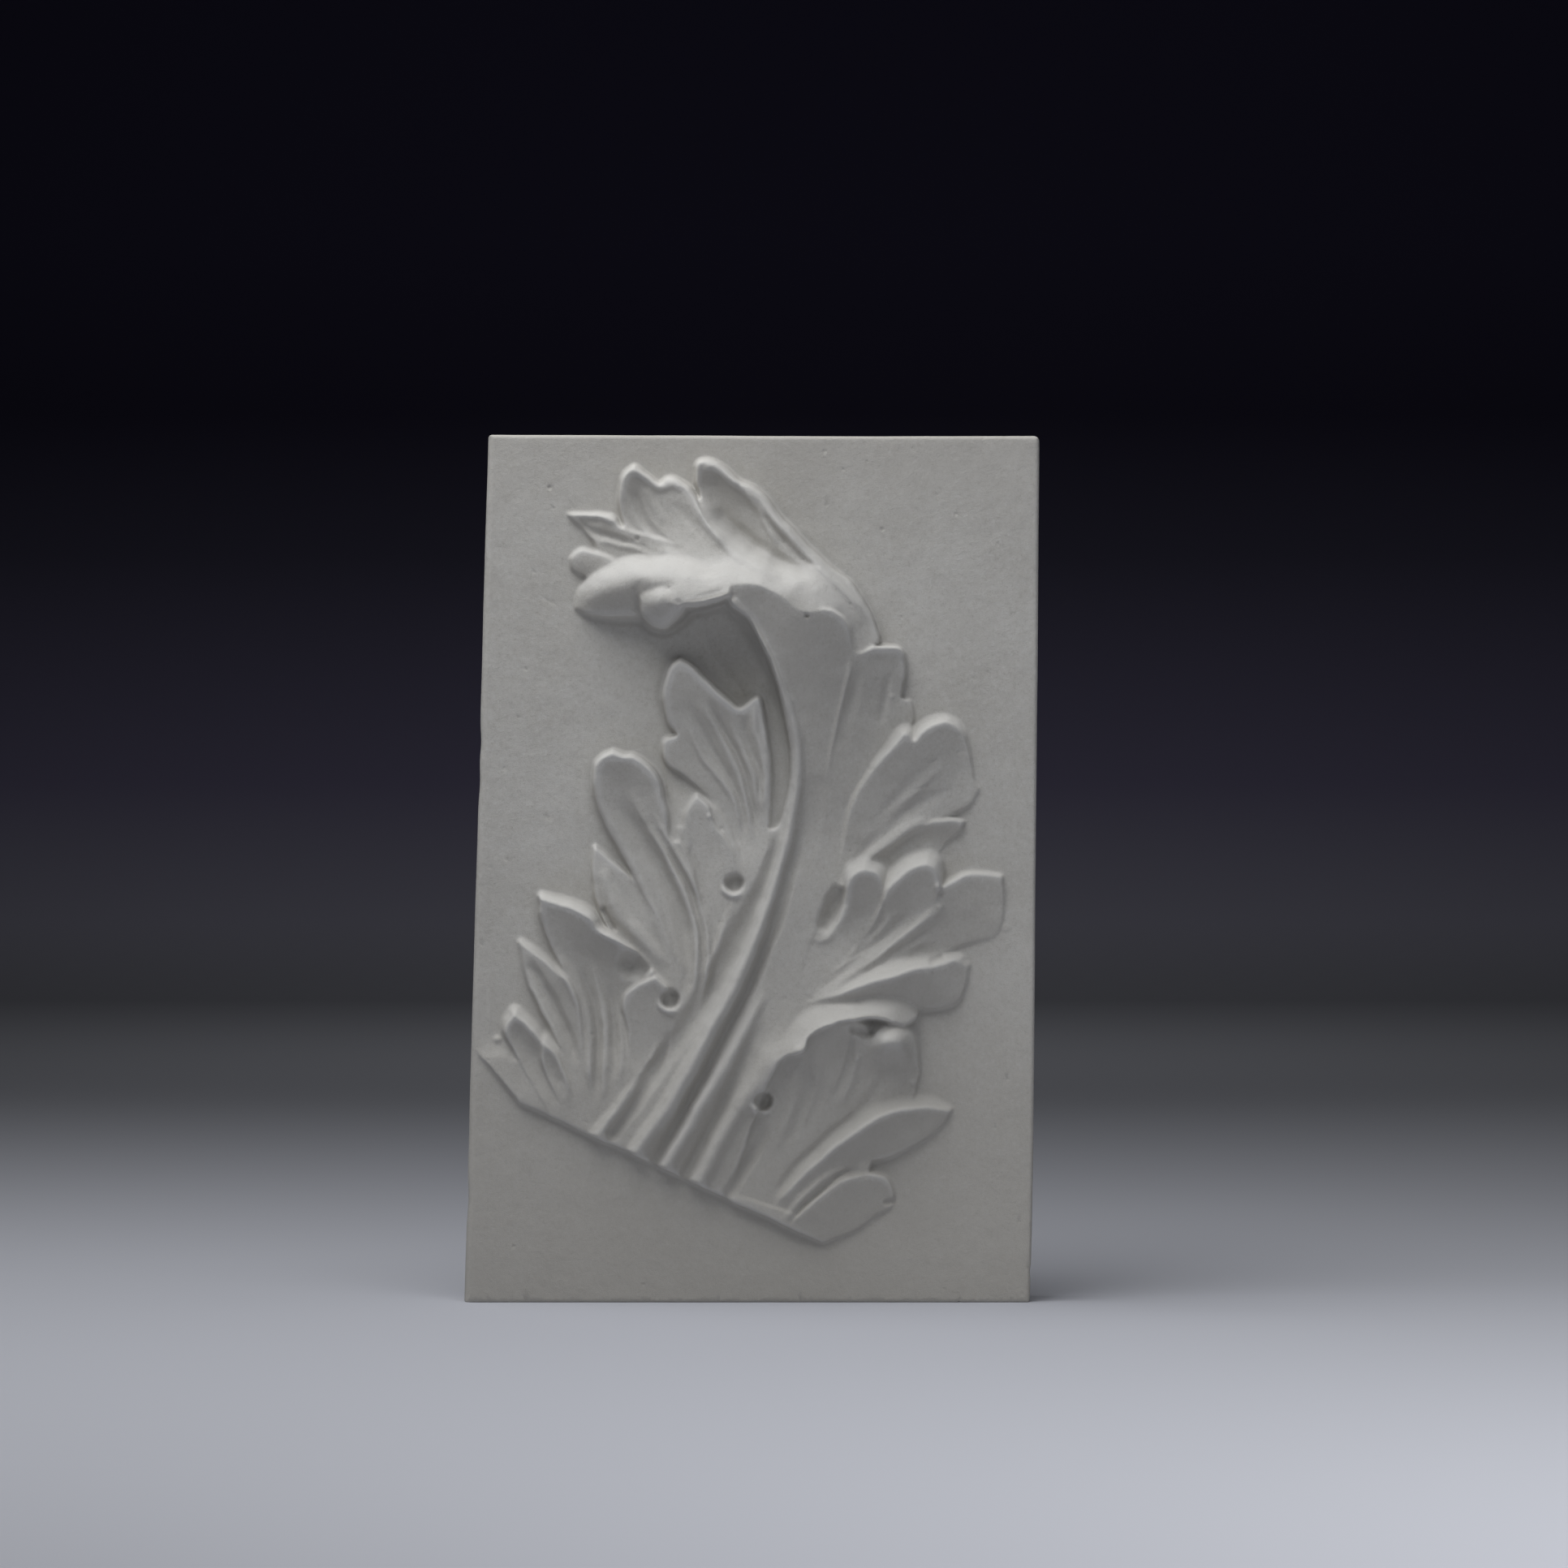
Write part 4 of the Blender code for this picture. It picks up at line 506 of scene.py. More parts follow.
def curl_back(relief):
    """The outside of the turned-over tip, which falls away behind the rim to two blunt tips."""
    relief.sheet(
        [(-41, 391), (-30, 392), (-20, 394), (-12, 397.5), (-11, 402.5), (0, 403), (10, 400), (17, 397),
         (24, 391), (30, 387.5), (35, 387.5), (41, 390), (50, 386), (55, 379), (57, 368), (60, 365),
         (68, 369), (72, 372), (70, 380), (65, 391), (56, 404), (44, 413), (30, 426), (16, 441), (8, 451),
         (1, 457), (-7, 461), (-14, 467), (-21, 471.5), (-27, 473), (-30.5, 471), (-31, 463), (-30, 450),
         (-45, 445), (-68, 434), (-76, 426), (-84, 416), (-80, 406), (-60, 396)],
        [(-41, 392, 40), (-20, 394, 42.5), (-12, 398, 42.5), (5, 402, 42), (24, 391, 40), (41, 389, 35),
         (57, 368, 23), (-40, 402, 38), (-20, 403, 39.5), (72, 371, 12), (68, 385, 10), (50, 408, 11),
         (30, 425, 14), (10, 447, 15), (-10, 463, 15.5), (-26, 471, 14), (40, 403, 26), (-20, 417, 25),
         (-40, 417, 21), (-50, 425, 14), (-66, 434, 8), (24, 404, 34), (8, 412, 29.5), (-8, 420.5, 23),
         (-19, 431, 18), (-27, 442, 14.5), (-32, 451, 11.5), (-21, 461, 8.5), (-11, 450, 9.5), (-2, 440, 11),
         (6, 430, 13.5), (15, 421, 17), (27, 412, 22.5), (3, 447, 13.5), (12, 434, 16), (22, 424, 17.5),
         (-24, 453, 7.5), (-18, 442, 8.5), (-9, 432, 10.5), (1, 424, 14.5), (14, 414, 21.5), (-80, 418, 8),
         (-78, 406, 9)], upper=5, lower=20, foot=2)
    relief.strokes(
        ([(-28, 468), (-23, 469), (-15, 464.5), (-6, 458.5)], 3.5, (2, 2.2, 1.5)),
        ([(-16, 464), (-6, 458), (5, 448), (18, 434.5), (32, 419.5), (46, 406), (58, 394), (66, 382)],
         (4, 4, 3.5, 3.5), (2, 3, 3, 3, 2.5)),
        ([(16, 425), (9, 436), (3, 446.5), (-5, 456)], 2.5, (0.8, 1.5, 1)),
        ([(36, 411), (24, 423), (14, 434), (6, 446), (-1, 454)], 2.5, (-1, -1.8, -1.8, -1)))
    relief.leaflet(
        [(-60, 410), (-68, 425), (-73, 443), (-74, 455), (-71.5, 465), (-66, 470)],
        [(24, 404), (8, 412), (-8, 420.5), (-19, 431), (-27, 442), (-32, 451), (-37, 459), (-46, 463.5),
         (-52, 460.5), (-59, 465), (-66, 470)], (21, 13, 8, 7, 10, 13), (34, 29.5, 22.5, 16.5, 12.5, 13),
        hollow=(0, 1, 2.5, 2, 0), root=0.25, upper=5, lower=6, foot=2)
    relief.strokes(
        ([(-70, 466), (-65, 467), (-58, 462.5), (-52, 458.5), (-44, 460), (-37, 456)], (3, 3.5, 3),
         (1.5, 1.6, 1.2)),
        ([(-60, 459), (-55, 449), (-48, 438)], (3, 4, 4), (0.8, 1.2, 0.6)),
        ([(-72, 455), (-70, 441), (-60, 430), (-47, 422)], 3, (-0.6, -1.2, -1)),
        ([(-36, 421), (-48, 427), (-58, 437), (-64, 449), (-67, 460)], (3.5, 4, 3), (-1, -2, -2, -1)),
        ([(20, 405), (6, 412), (-8, 420), (-18, 430), (-26.5, 441), (-33, 452)], 4.5, (1, 2, 2.5, 2.2, 1.5)),
        ([(-22, 452), (-14, 439), (-3, 429), (9, 420.5), (22, 413.5), (36, 405)], (5, 7, 7, 6, 4),
         (-1, -3.2, -3.6, -3.2, -1.5)),
        ([(-26, 430), (-36, 441), (-44, 451)], 4, (-0.5, -0.8, -0.5)))
    relief.stroke([(50, 411), (58, 403), (67, 390), (72, 377)], 1.3, -1.2, (0.1, 0.1))
    relief.drill(34.5, 415.5, 1.3, 0.8, run=(2.5, -1.5))


def curl_left_end(relief):
    """Two thin blades, the bulging fold, and the small lobe curled in front of it."""
    relief.leaflet(
        [(-40, 416), (-66, 416), (-84, 420), (-88, 429), (-97, 438), (-103, 443.5)],
        [(-36, 424), (-54, 430), (-73, 436), (-79, 442), (-90, 443.5), (-103, 443.5)], (24, 14, 8, 5, 4, 3),
        (24, 15, 10, 8, 5, 3), hollow=0.5, root=0.3, upper=4, lower=3)
    relief.leaflet(
        [(-78, 404), (-90, 407), (-100, 413), (-102, 419)],
        [(-76, 418), (-88, 422), (-96, 423.5), (-102, 419)], (9, 5, 3, 3), (9, 8, 6, 3), hollow=-0.5,
        root=0.2, upper=3, lower=3)
    relief.strokes(
        ([(-102, 443), (-94, 442.5), (-84, 441.5), (-76, 438)], (1.6, 2.2, 2.2), (1, 2, 1.5)),
        ([(-98, 440), (-90, 434), (-80, 431), (-68, 427)], (2.5, 3.5, 3), (-1.5, -2.5, -1.5)),
        ([(-86, 430), (-70, 426), (-48, 420)], 3, (1, 1.5, 1)),
        ([(-74, 430), (-60, 424), (-46, 419)], 2.5, (-1, -1.5, -1)))
    relief.sheet(
        [(-99, 391), (-98, 399), (-92, 407), (-84, 413.5), (-74, 418), (-57, 419.5), (-36, 419), (-20, 417),
         (-20, 404), (-34, 396), (-50, 388), (-60, 387.5), (-70, 387.5), (-82, 387), (-92, 388.5),
         (-97, 390)],
        [(-98.5, 392, 3), (-97, 400, 4), (-92, 407, 5), (-84, 413, 7), (-74, 418, 9.5), (-57, 419, 14),
         (-38, 419, 19), (-22, 417, 20), (-96, 386, 3), (-82, 383, 7), (-70, 384, 11), (-60, 385, 16),
         (-50, 388, 24), (-36, 397, 36), (-88, 402, 14.5), (-76, 407, 21), (-64, 409.5, 26.5),
         (-50, 410, 31.5), (-35, 407, 36), (-84, 393, 14.5), (-72, 396, 21), (-60, 399, 27.5), (-84, 410, 12),
         (-70, 415, 17), (-54, 416, 22), (-38, 414, 26.5), (-24, 412, 26), (-22, 405, 34.5)], upper=2.5,
        lower=5, merge=2.5)
    relief.sheet(
        [(-62, 396), (-61, 388), (-55, 381.5), (-48, 380.5), (-42, 386), (-38, 391), (-36, 397), (-40, 403),
         (-50, 406), (-58, 403)],
        [(-62, 396, 27), (-61, 388, 25), (-54, 381.5, 24), (-47, 381.5, 27), (-42, 386, 33), (-38, 391, 39),
         (-37, 397, 38), (-41, 403, 34), (-50, 406, 30), (-58, 403, 26), (-52, 391, 36), (-50, 398, 36.5)],
        upper=2, lower=9, foot=1.5, merge=1.5)
    relief.stroke([(-60, 406), (-64.5, 399), (-65, 390), (-60, 382)], 3, (-0.5, -1.5, -1))
    relief.stroke([(-32, 396), (-23, 398), (-13, 401)], 1.2, -0.6)
    relief.stroke([(-34, 393.8), (-24, 395.8), (-14, 398.6)], 1.2, -0.6)
    relief.drill(-40, 393, 2.2, 1.2)


def drilled_eyes(relief):
    radius, depth = EYE_DIAMETER / 2 / PART, EYE_DEPTH / PART
    rim = radius + 1.8
    for x, z in ((-45.5, 171), (-9.5, 236), (6.5, 114)):
        around = np.radians(np.arange(175, 350, 25))
        ring = np.column_stack([x + rim * np.cos(around), z + rim * np.sin(around)])
        relief.stroke(ring, 2.6, 2.2, (0.35, 0.35))
        relief.drill(x, z, radius + 0.6, depth, flat=0.6)
    relief.stroke([(32.5, 214), (33.5, 208), (38, 204), (43, 206), (48, 212)], 2.8, 1.0, (0.6, 0.35))
    relief.stroke([(38, 208), (42, 215), (46.5, 224), (51, 236)], (4.5, 7.5, 8.5, 5), (-3, -6.5, -5.5, -2))


def cut_across_stalk(relief):
    """The straight cut below the leaf, and the short broken edge at its left."""
    start, end, slant = np.array([-125.0, 110.0]), np.array([38.0, 34.0]), np.array([-0.77, -0.64])
    along = (end - start) / np.hypot(*(end - start))
    below = (relief.x - start[0]) * along[1] - (relief.z - start[1]) * along[0]
    beside = (relief.x - start[0] + 3) * slant[0] + (relief.z - start[1] + 1) * slant[1]
    wall = np.maximum(0, 2 - CUT_SLOPE * np.maximum(below, beside))
    relief.h = np.maximum(-smooth_max(-relief.h, -wall, 0.6), np.minimum(relief.h, 0))


def blended(values, column, row, right, up):
    """A value between a grid's four nearest points, at shares of the way to the right and up."""
    lower = values[row, column] * (1 - right) + values[row, column + 1] * right
    upper = values[row + 1, column] * (1 - right) + values[row + 1, column + 1] * right
    return lower * (1 - up) + upper * up


def unevenness(x, z, spacing, seed):
    """Smooth bumps between -1 and 1, about as far apart as the spacing."""
    across, up = (x - x.min()) / spacing, (z - z.min()) / spacing
    column, row = across.astype(int), up.astype(int)
    knots = np.random.default_rng(seed).uniform(-1, 1, (row.max() + 2, column.max() + 2))
    return blended(knots, column, row, smooth_step(0, 1, across - column), smooth_step(0, 1, up - row))


def wear_and_marks(relief):
    """Bubble holes, dents and scratches that the mould left or that came later."""
    for x, z, radius, depth in ((-114, 459, 1.2, 1.2), (41, 479.5, 0.9, 0.8), (73.6, 435.5, 1.1, 1.0),
                                (115, 444, 0.9, 0.8), (29, 418.5, 1.0, 0.9), (55, 393, 0.9, 0.8),
                                (-123, 411.5, 0.9, 0.7), (59.5, 124, 0.9, 1.2), (31, 386, 1.4, 2.5),
                                (-64.5, 430, 1.2, 1.6), (67, 300, 1.2, 1.2)):
        relief.drill(x, z, radius, depth)
    relief.drill(-77, 329, 4.5, 0.25)
    relief.drill(143, 211, 3.0, -0.5)
    relief.drill(152, 4.5, 3.2, -0.5)
    relief.drill(152, 4.5, 1.6, 0.5)
    relief.stroke([(-118, 397), (-110, 393)], 1.0, -0.35)
    relief.stroke([(-149, 178), (-147, 165), (-148, 150)], 1.5, 0.4)
    relief.stroke([(90, 288), (100, 291)], 0.9, -0.5)
    relief.stroke([(100, 303), (105, 306)], 0.9, -0.5)


SOFT_CARVING, SOFT_MARKS = 0.5, 0.3      # how far the carving and then the marks are softened, in parts


def carve_leaf(left, right, top):
    """The whole relief, with lines that waver as a hand's do and a skin that is never quite flat."""
    relief = Relief(left, right, 0.0, top, CELL / PART)
    x, z = relief.x.copy(), relief.z.copy()
    for reach, apart, seed in ((0.45, 11, 1), (0.2, 4, 2)):
        relief.x = relief.x + reach * unevenness(x, z, apart, seed)
        relief.z = relief.z + reach * unevenness(x, z, apart, seed + 2)
    for carve in (stalk_and_blade, lower_left_lobe, middle_left_lobe, upper_left_lobe, upper_right_lobe,
                  middle_right_lobe, lower_right_lobe, midrib_and_pipes, curl_back, curl_left_end,
                  drilled_eyes, cut_across_stalk):
        carve(relief)
    relief.h = softened(relief.h, SOFT_CARVING / relief.cell)
    relief.h *= RELIEF_DEPTH / PART / relief.h.max()
    wear_and_marks(relief)
    relief.h = softened(relief.h, SOFT_MARKS / relief.cell)
    leaf = smooth_step(0.5, 4, relief.h)
    relief.h += (0.10 + 0.12 * leaf) * unevenness(x, z, 9, 5) + (0.04 + 0.05 * leaf) * unevenness(x, z, 3, 6)
    relief.h += 0.25 * unevenness(x, z, 60, 7)
    return relief


def read_grid(relief, values, x, z):
    """Values between the grid's points, at places given in metres."""
    column = np.clip((x / PART - relief.corner[0]) / relief.cell, 0, values.shape[1] - 1.001)
    row = np.clip((z / PART - relief.corner[1]) / relief.cell, 0, values.shape[0] - 1.001)
    c, r = column.astype(int), row.astype(int)
    return blended(values, c, r, column - c, row - r)


SLAB_HEIGHT = MARGIN_BELOW + LEAF_HEIGHT + MARGIN_ABOVE
BACK_Y = (SLAB_THICKNESS + 0.042) / 2      # the solid part is 82 mm deep and the cast stands over its middle
FACE_Y = BACK_Y - SLAB_THICKNESS
ARRIS = {"left": 0.0042, "right": 0.0022, "top": 0.0022, "foot": 0.0008}      # rubbed front edges
BACK_ARRIS = 0.0015
LEFT_BITES = ((0.645, 0.016, 0.0007), (0.600, 0.020, 0.0006), (0.118, 0.020, 0.0007))
FULL_TURN = 6.283


def worn_edge(place, bite, seed):
    """How far a slab's edge stands in from the straight line, in metres, at places from 0 to 1 along it."""
    rough = np.random.default_rng(seed)
    wave = sum(np.sin(place * k * FULL_TURN + rough.uniform(0, FULL_TURN)) / k for k in (2, 5, 9, 17, 31))
    return bite * (1 + wave / 2.2) / 2


def slab_outline(across, up):
    """The slab's left, right and top edges, and the places of points at shares of its width and height."""
    left = FOOT_LEFT + (TOP_LEFT - FOOT_LEFT) * up + worn_edge(up, 0.0009, 11)
    right = FOOT_RIGHT + (TOP_RIGHT - FOOT_RIGHT) * up - worn_edge(up, 0.0007, 12)
    for place, reach, bite in LEFT_BITES:
        left += bite * np.exp(-((up - place) / reach) ** 2)
    right -= 0.0012 * np.exp(-up / 0.06) + 0.0005 * np.exp(-((up - 0.036) / 0.007) ** 2)
    top = SLAB_HEIGHT - worn_edge(across, 0.0006, 13) - 0.0007 * smooth_step(0.1, 0.6, across)
    x, z = left + (right - left) * across, top * up
    for edge, inward, level, upward, radius in ((left, 1, top, -1, 0.0022), (right, -1, top, -1, 0.0035),
                                                (left, 1, 0, 1, 0.0012), (right, -1, 0, 1, 0.0015)):
        u, v = 1 - (x - edge) * inward / radius, 1 - (z - level) * upward / radius
        inside = (u > 0) & (v > 0)
        shrink = np.where(inside, np.maximum(u, v) / np.maximum(np.hypot(u, v), 1e-9), 1.0)
        x = np.where(inside, edge + inward * radius * (1 - u * shrink), x)
        z = np.where(inside, level + upward * radius * (1 - v * shrink), z)
    return left, right, top, x, z


def cast_slab():
    """The slab's face as a fine grid with the relief on it, and plain sides and back."""
    relief = carve_leaf(FOOT_LEFT / PART, TOP_RIGHT / PART, SLAB_HEIGHT / PART)
    columns, rows = round((TOP_RIGHT - FOOT_LEFT) / CELL), round(SLAB_HEIGHT / CELL)
    bpy.ops.mesh.primitive_grid_add(x_subdivisions=columns, y_subdivisions=rows, size=1)
    cast = bpy.context.object
    cast.name = cast.data.name = "plaster_cast"
    flat = np.empty(len(cast.data.vertices) * 3)
    cast.data.vertices.foreach_get("co", flat)
    left, right, top, x, z = slab_outline(*(flat.reshape(-1, 3)[:, :2] + 0.5).T)

    rise = read_grid(relief, relief.h, x, z) * PART
    drop = np.zeros_like(x)
    for side, gap in (("left", x - left), ("right", right - x), ("top", top - z), ("foot", z)):
        share = np.clip(1 - gap / ARRIS[side], 0, 0.999)
        drop = np.maximum(drop, ARRIS[side] * (1 - np.sqrt(1 - share ** 2)))
    points = np.column_stack([x - (FOOT_LEFT + TOP_RIGHT) / 2, FACE_Y - rise + drop, z])
    cast.data.vertices.foreach_set("co", points.ravel())
    # hollow: dust and painted shade go in the hollows, wear and a painted highlight on the ridges
    hollow = softened(relief.h, 3.0 / relief.cell) - relief.h
    # slope up the face: painted shade goes on what looks down and painted highlight on what looks up
    slope = np.gradient(softened(relief.h, 1.5 / relief.cell), relief.cell)[0]
    for name, values, most in (("hollow", hollow, 3.0), ("shade_and_highlight_slope", slope, 1.0)):
        mark = cast.data.attributes.new(name, "FLOAT", "POINT")
        mark.data.foreach_set("value", np.clip(read_grid(relief, values, x, z), -most, most))

    side_from, top_from, foot_to = 0.14, SLAB_HEIGHT / 2 + 0.22, 0.0016      # where the rim is drawn in
    mesh = bmesh.new()
    mesh.from_mesh(cast.data)
    border = [edge for edge in mesh.edges if edge.is_boundary]
    for before_back, inset in ((0.030, 0.0), (0.015, 0.0), (BACK_ARRIS, 0.0),
                               (BACK_ARRIS * 0.3, BACK_ARRIS * 0.3), (0.0, BACK_ARRIS)):
        made = bmesh.ops.extrude_edge_only(mesh, edges=border)["geom"]
        border = [g for g in made if isinstance(g, bmesh.types.BMEdge) and g.is_boundary]
        for vertex in (g for g in made if isinstance(g, bmesh.types.BMVert)):
            vertex.co.y = BACK_Y - before_back
            vertex.co.x -= inset * np.sign(vertex.co.x) * (abs(vertex.co.x) > side_from)
            if vertex.co.z > top_from:
                vertex.co.z -= inset
            elif vertex.co.z < foot_to:
                vertex.co.z += inset
    bmesh.ops.holes_fill(mesh, edges=border, sides=0)
    bmesh.ops.recalc_face_normals(mesh, faces=mesh.faces)
    bmesh.ops.triangulate(mesh, faces=mesh.faces)
    mesh.to_mesh(cast.data)
    mesh.free()
    return cast


def set_inputs(tree, node, inputs):
    """Links each input to a socket, or sets it to a value."""
    for key, value in inputs.items():
        if isinstance(value, bpy.types.NodeSocket):
            tree.links.new(value, node.inputs[key])
        else:
            node.inputs[key].default_value = value
    return node


def add_node(tree, kind, inputs, **settings):
    node = tree.nodes.new(kind)
    for name, value in settings.items():
        setattr(node, name, value)
    return set_inputs(tree, node, inputs)


def bubble_pits(name):
    """Small holes that air bubbles left in the plaster's skin, spread at random over the front."""
    tree = bpy.data.node_groups.new(name, "GeometryNodeTree")
    for label, kind, value in (("Cast", "Geometry", None), ("Pits per square metre", "Float", 900.0),
                               ("Pit radius", "Float", 0.0011), ("Pit depth", "Float", 0.0006),
                               ("Seed", "Int", 4), ("Plaster", "Material", None)):
        socket = tree.interface.new_socket(label, in_out="INPUT", socket_type="NodeSocket" + kind)
        if value is not None:
            socket.default_value = value
    tree.interface.new_socket("Cast", in_out="OUTPUT", socket_type="NodeSocketGeometry")
    given = tree.nodes.new("NodeGroupInput").outputs
    normal = tree.nodes.new("GeometryNodeInputNormal").outputs[0]
    parts = add_node(tree, "ShaderNodeSeparateXYZ", {0: normal})
    on_face = add_node(tree, "FunctionNodeCompare", {0: parts.outputs["Y"], 1: -0.6}, operation="LESS_THAN")
    points = add_node(tree, "GeometryNodeDistributePointsOnFaces",
                      {"Mesh": given["Cast"], "Density": given["Pits per square metre"],
                       "Seed": given["Seed"], "Selection": on_face.outputs[0]})
    near = add_node(tree, "GeometryNodeProximity", {0: points.outputs["Points"]}, target_element="POINTS")
    sizes = add_node(tree, "ShaderNodeTexNoise", {"Scale": 40.0})
    larger = add_node(tree, "ShaderNodeMapRange", {"Value": sizes.outputs["Fac"], "From Min": 0.35,
                                                   "From Max": 0.65, "To Min": 0.5, "To Max": 1.2})
    reach = add_node(tree, "ShaderNodeMath", {0: given["Pit radius"], 1: larger.outputs["Result"]},
                     operation="MULTIPLY")
    profile = add_node(tree, "ShaderNodeMapRange",
                       {"Value": near.outputs["Distance"], "From Max": reach.outputs[0],
                        "To Min": given["Pit depth"], "To Max": 0.0}, interpolation_type="SMOOTHSTEP")
    flip = add_node(tree, "ShaderNodeMath", {0: profile.outputs["Result"], 1: -1.0}, operation="MULTIPLY")
    inward = add_node(tree, "ShaderNodeVectorMath", {0: normal, "Scale": flip.outputs[0]}, operation="SCALE")
    moved = add_node(tree, "GeometryNodeSetPosition",
                     {"Geometry": given["Cast"], "Offset": inward.outputs[0]})
    plain = add_node(tree, "GeometryNodeRealizeInstances", {0: moved.outputs[0]})
    painted = add_node(tree, "GeometryNodeSetMaterial", {"Geometry": plain.outputs[0],
                                                         "Material": given["Plaster"]})
    add_node(tree, "NodeGroupOutput", {0: painted.outputs[0]})
    return tree


def plaster_finish():
    """Matt casting plaster: faint cloudiness, dust and painted shade in the hollows, rubbed edges with a
    painted highlight, painted shade on what looks down and painted highlight on what looks up, painted shade
    towards the foot and the top, a sandy grain and lumps.
    """
    material = bpy.data.materials.new("plaster")
    material.use_nodes = True
    tree = material.node_tree
    place = tree.nodes.new("ShaderNodeTexCoord").outputs["Object"]
    mapping = add_node(tree, "ShaderNodeMapping", {"Vector": place}).outputs["Vector"]

    def noise(scale, detail, rough=0.55):
        return add_node(tree, "ShaderNodeTexNoise", {"Vector": mapping, "Scale": scale, "Detail": detail,
                                                     "Roughness": rough}).outputs["Fac"]

    def marked(name):
        return add_node(tree, "ShaderNodeAttribute", {}, attribute_name=name).outputs["Fac"]

    def ranged(value, low, high, to_low=0.0, to_high=1.0):
        return add_node(tree, "ShaderNodeMapRange", {"Value": value, "From Min": low, "From Max": high,
                                                     "To Min": to_low, "To Max": to_high}).outputs["Result"]

    def mixed(first, second, share):
        return add_node(tree, "ShaderNodeMix", {"A": first, "B": second, "Factor": share},
                        data_type="RGBA").outputs["Result"]

    clouds, blotches = noise(14.0, 5.0), noise(75.0, 4.0, 0.6)
    mottle, specks = noise(420.0, 3.0, 0.7), noise(1300.0, 2.0, 0.7)
    # the slope carries painted shade and highlight; the hollow carries dust and painted shade
    shade_and_highlight_slope, hollow = marked("shade_and_highlight_slope"), marked("hollow")
    # height above the foot, for painted shade towards the foot and the top
    height = add_node(tree, "ShaderNodeSeparateXYZ", {0: mapping}).outputs["Z"]
    colour = mixed((0.565, 0.552, 0.518, 1), (0.640, 0.630, 0.598, 1), ranged(clouds, 0.35, 0.65))
    # Some of these layers are painted light: painted shade on what looks down, in hollows and towards foot
    # and top, painted highlight on what looks up and on ridges.
    layers = (
        ((0.555, 0.540, 0.505, 1), blotches, 0.50, 0.72, 0.5),
        ((0.70, 0.695, 0.675, 1), mottle, 0.52, 0.72, 0.45),
        ((0.44, 0.425, 0.39, 1), mottle, 0.46, 0.28, 0.40),
        ((0.36, 0.345, 0.315, 1), specks, 0.60, 0.75, 0.5),
        ((0.46, 0.437, 0.395, 1), shade_and_highlight_slope, 0.04, 0.40, 0.5),      # painted shade on what looks down
        ((0.72, 0.715, 0.70, 1), shade_and_highlight_slope, -0.1, -0.7, 0.6),       # painted highlight on what looks up
        ((0.46, 0.44, 0.40, 1), height, 0.26, 0.0, 0.70),           # painted shade, darker towards the foot
        ((0.52, 0.50, 0.465, 1), height, 0.43, 0.485, 0.4),         # and painted shade, darker at the top
        ((0.46, 0.45, 0.425, 1), hollow, 0.3, 2.5, 0.45),           # dust, with painted shade in the hollows
        ((0.74, 0.735, 0.715, 1), hollow, -0.4, -1.6, 0.35),        # rubbed ridges, with a painted highlight on them
    )
    for tint, value, low, high, most in layers:
        colour = mixed(colour, tint, ranged(value, low, high, 0.0, most))

    coarse = add_node(tree, "ShaderNodeBump", {"Strength": 0.4, "Distance": 0.0014,
                                               "Height": noise(150.0, 5.0, 0.65)})
    fine = add_node(tree, "ShaderNodeBump", {"Strength": 0.45, "Distance": 0.0005,
                                             "Height": noise(2300.0, 2.0, 0.7),
                                             "Normal": coarse.outputs["Normal"]})
    set_inputs(tree, tree.nodes["Principled BSDF"],
               {"Base Color": colour, "Metallic": 0.0, "Specular IOR Level": 0.25,
                "Roughness": ranged(blotches, 0.3, 0.7, 0.80, 0.94), "Normal": fine.outputs["Normal"]})
    return material


cast = cast_slab()
pits = cast.modifiers.new("bubble pits", "NODES")
pits.node_group = bubble_pits("bubble pits")
sockets = {item.name: item.identifier for item in pits.node_group.interface.items_tree
           if item.in_out == "INPUT"}
pits[sockets["Plaster"]] = plaster_finish()
pits[sockets["Pits per square metre"]] = 500.0
fewer = cast.modifiers.new("fewer faces", "DECIMATE")
fewer.ratio = TRIANGLES / len(cast.data.polygons)
plain = bpy.data.meshes.new_from_object(cast.evaluated_get(bpy.context.evaluated_depsgraph_get()))
cast.modifiers.clear()
cast.data = plain
cast.data.name = "plaster_cast"
cast.data.shade_smooth()
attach(cast, "root")
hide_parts("acanthus_relief")


# The floor is a roll of pale paper that runs back from under the slab and bends up into a wall, where it is
# painted darker towards the top as painted shade where the lamps' light falls off.

SWEEP_FRONT, SWEEP_BACK, SWEEP_TOP, SWEEP_BEND, SWEEP_WIDTH = -12.0, 6.0, 5.0, 1.8, 30.0
SHADED_OVER = 2.0           # metres above the floor, of which each painted tone below has its share
SHADE_TONES = ((0.0, (0.52, 0.535, 0.590, 1)), (0.6, (0.06, 0.055, 0.10, 1)), (0.045, (0.55, 0.55, 0.67, 1)),
        (0.146, (0.30, 0.28, 0.42, 1)), (0.33, (0.11, 0.105, 0.16, 1)), (0.45, (0.05, 0.045, 0.08, 1)))


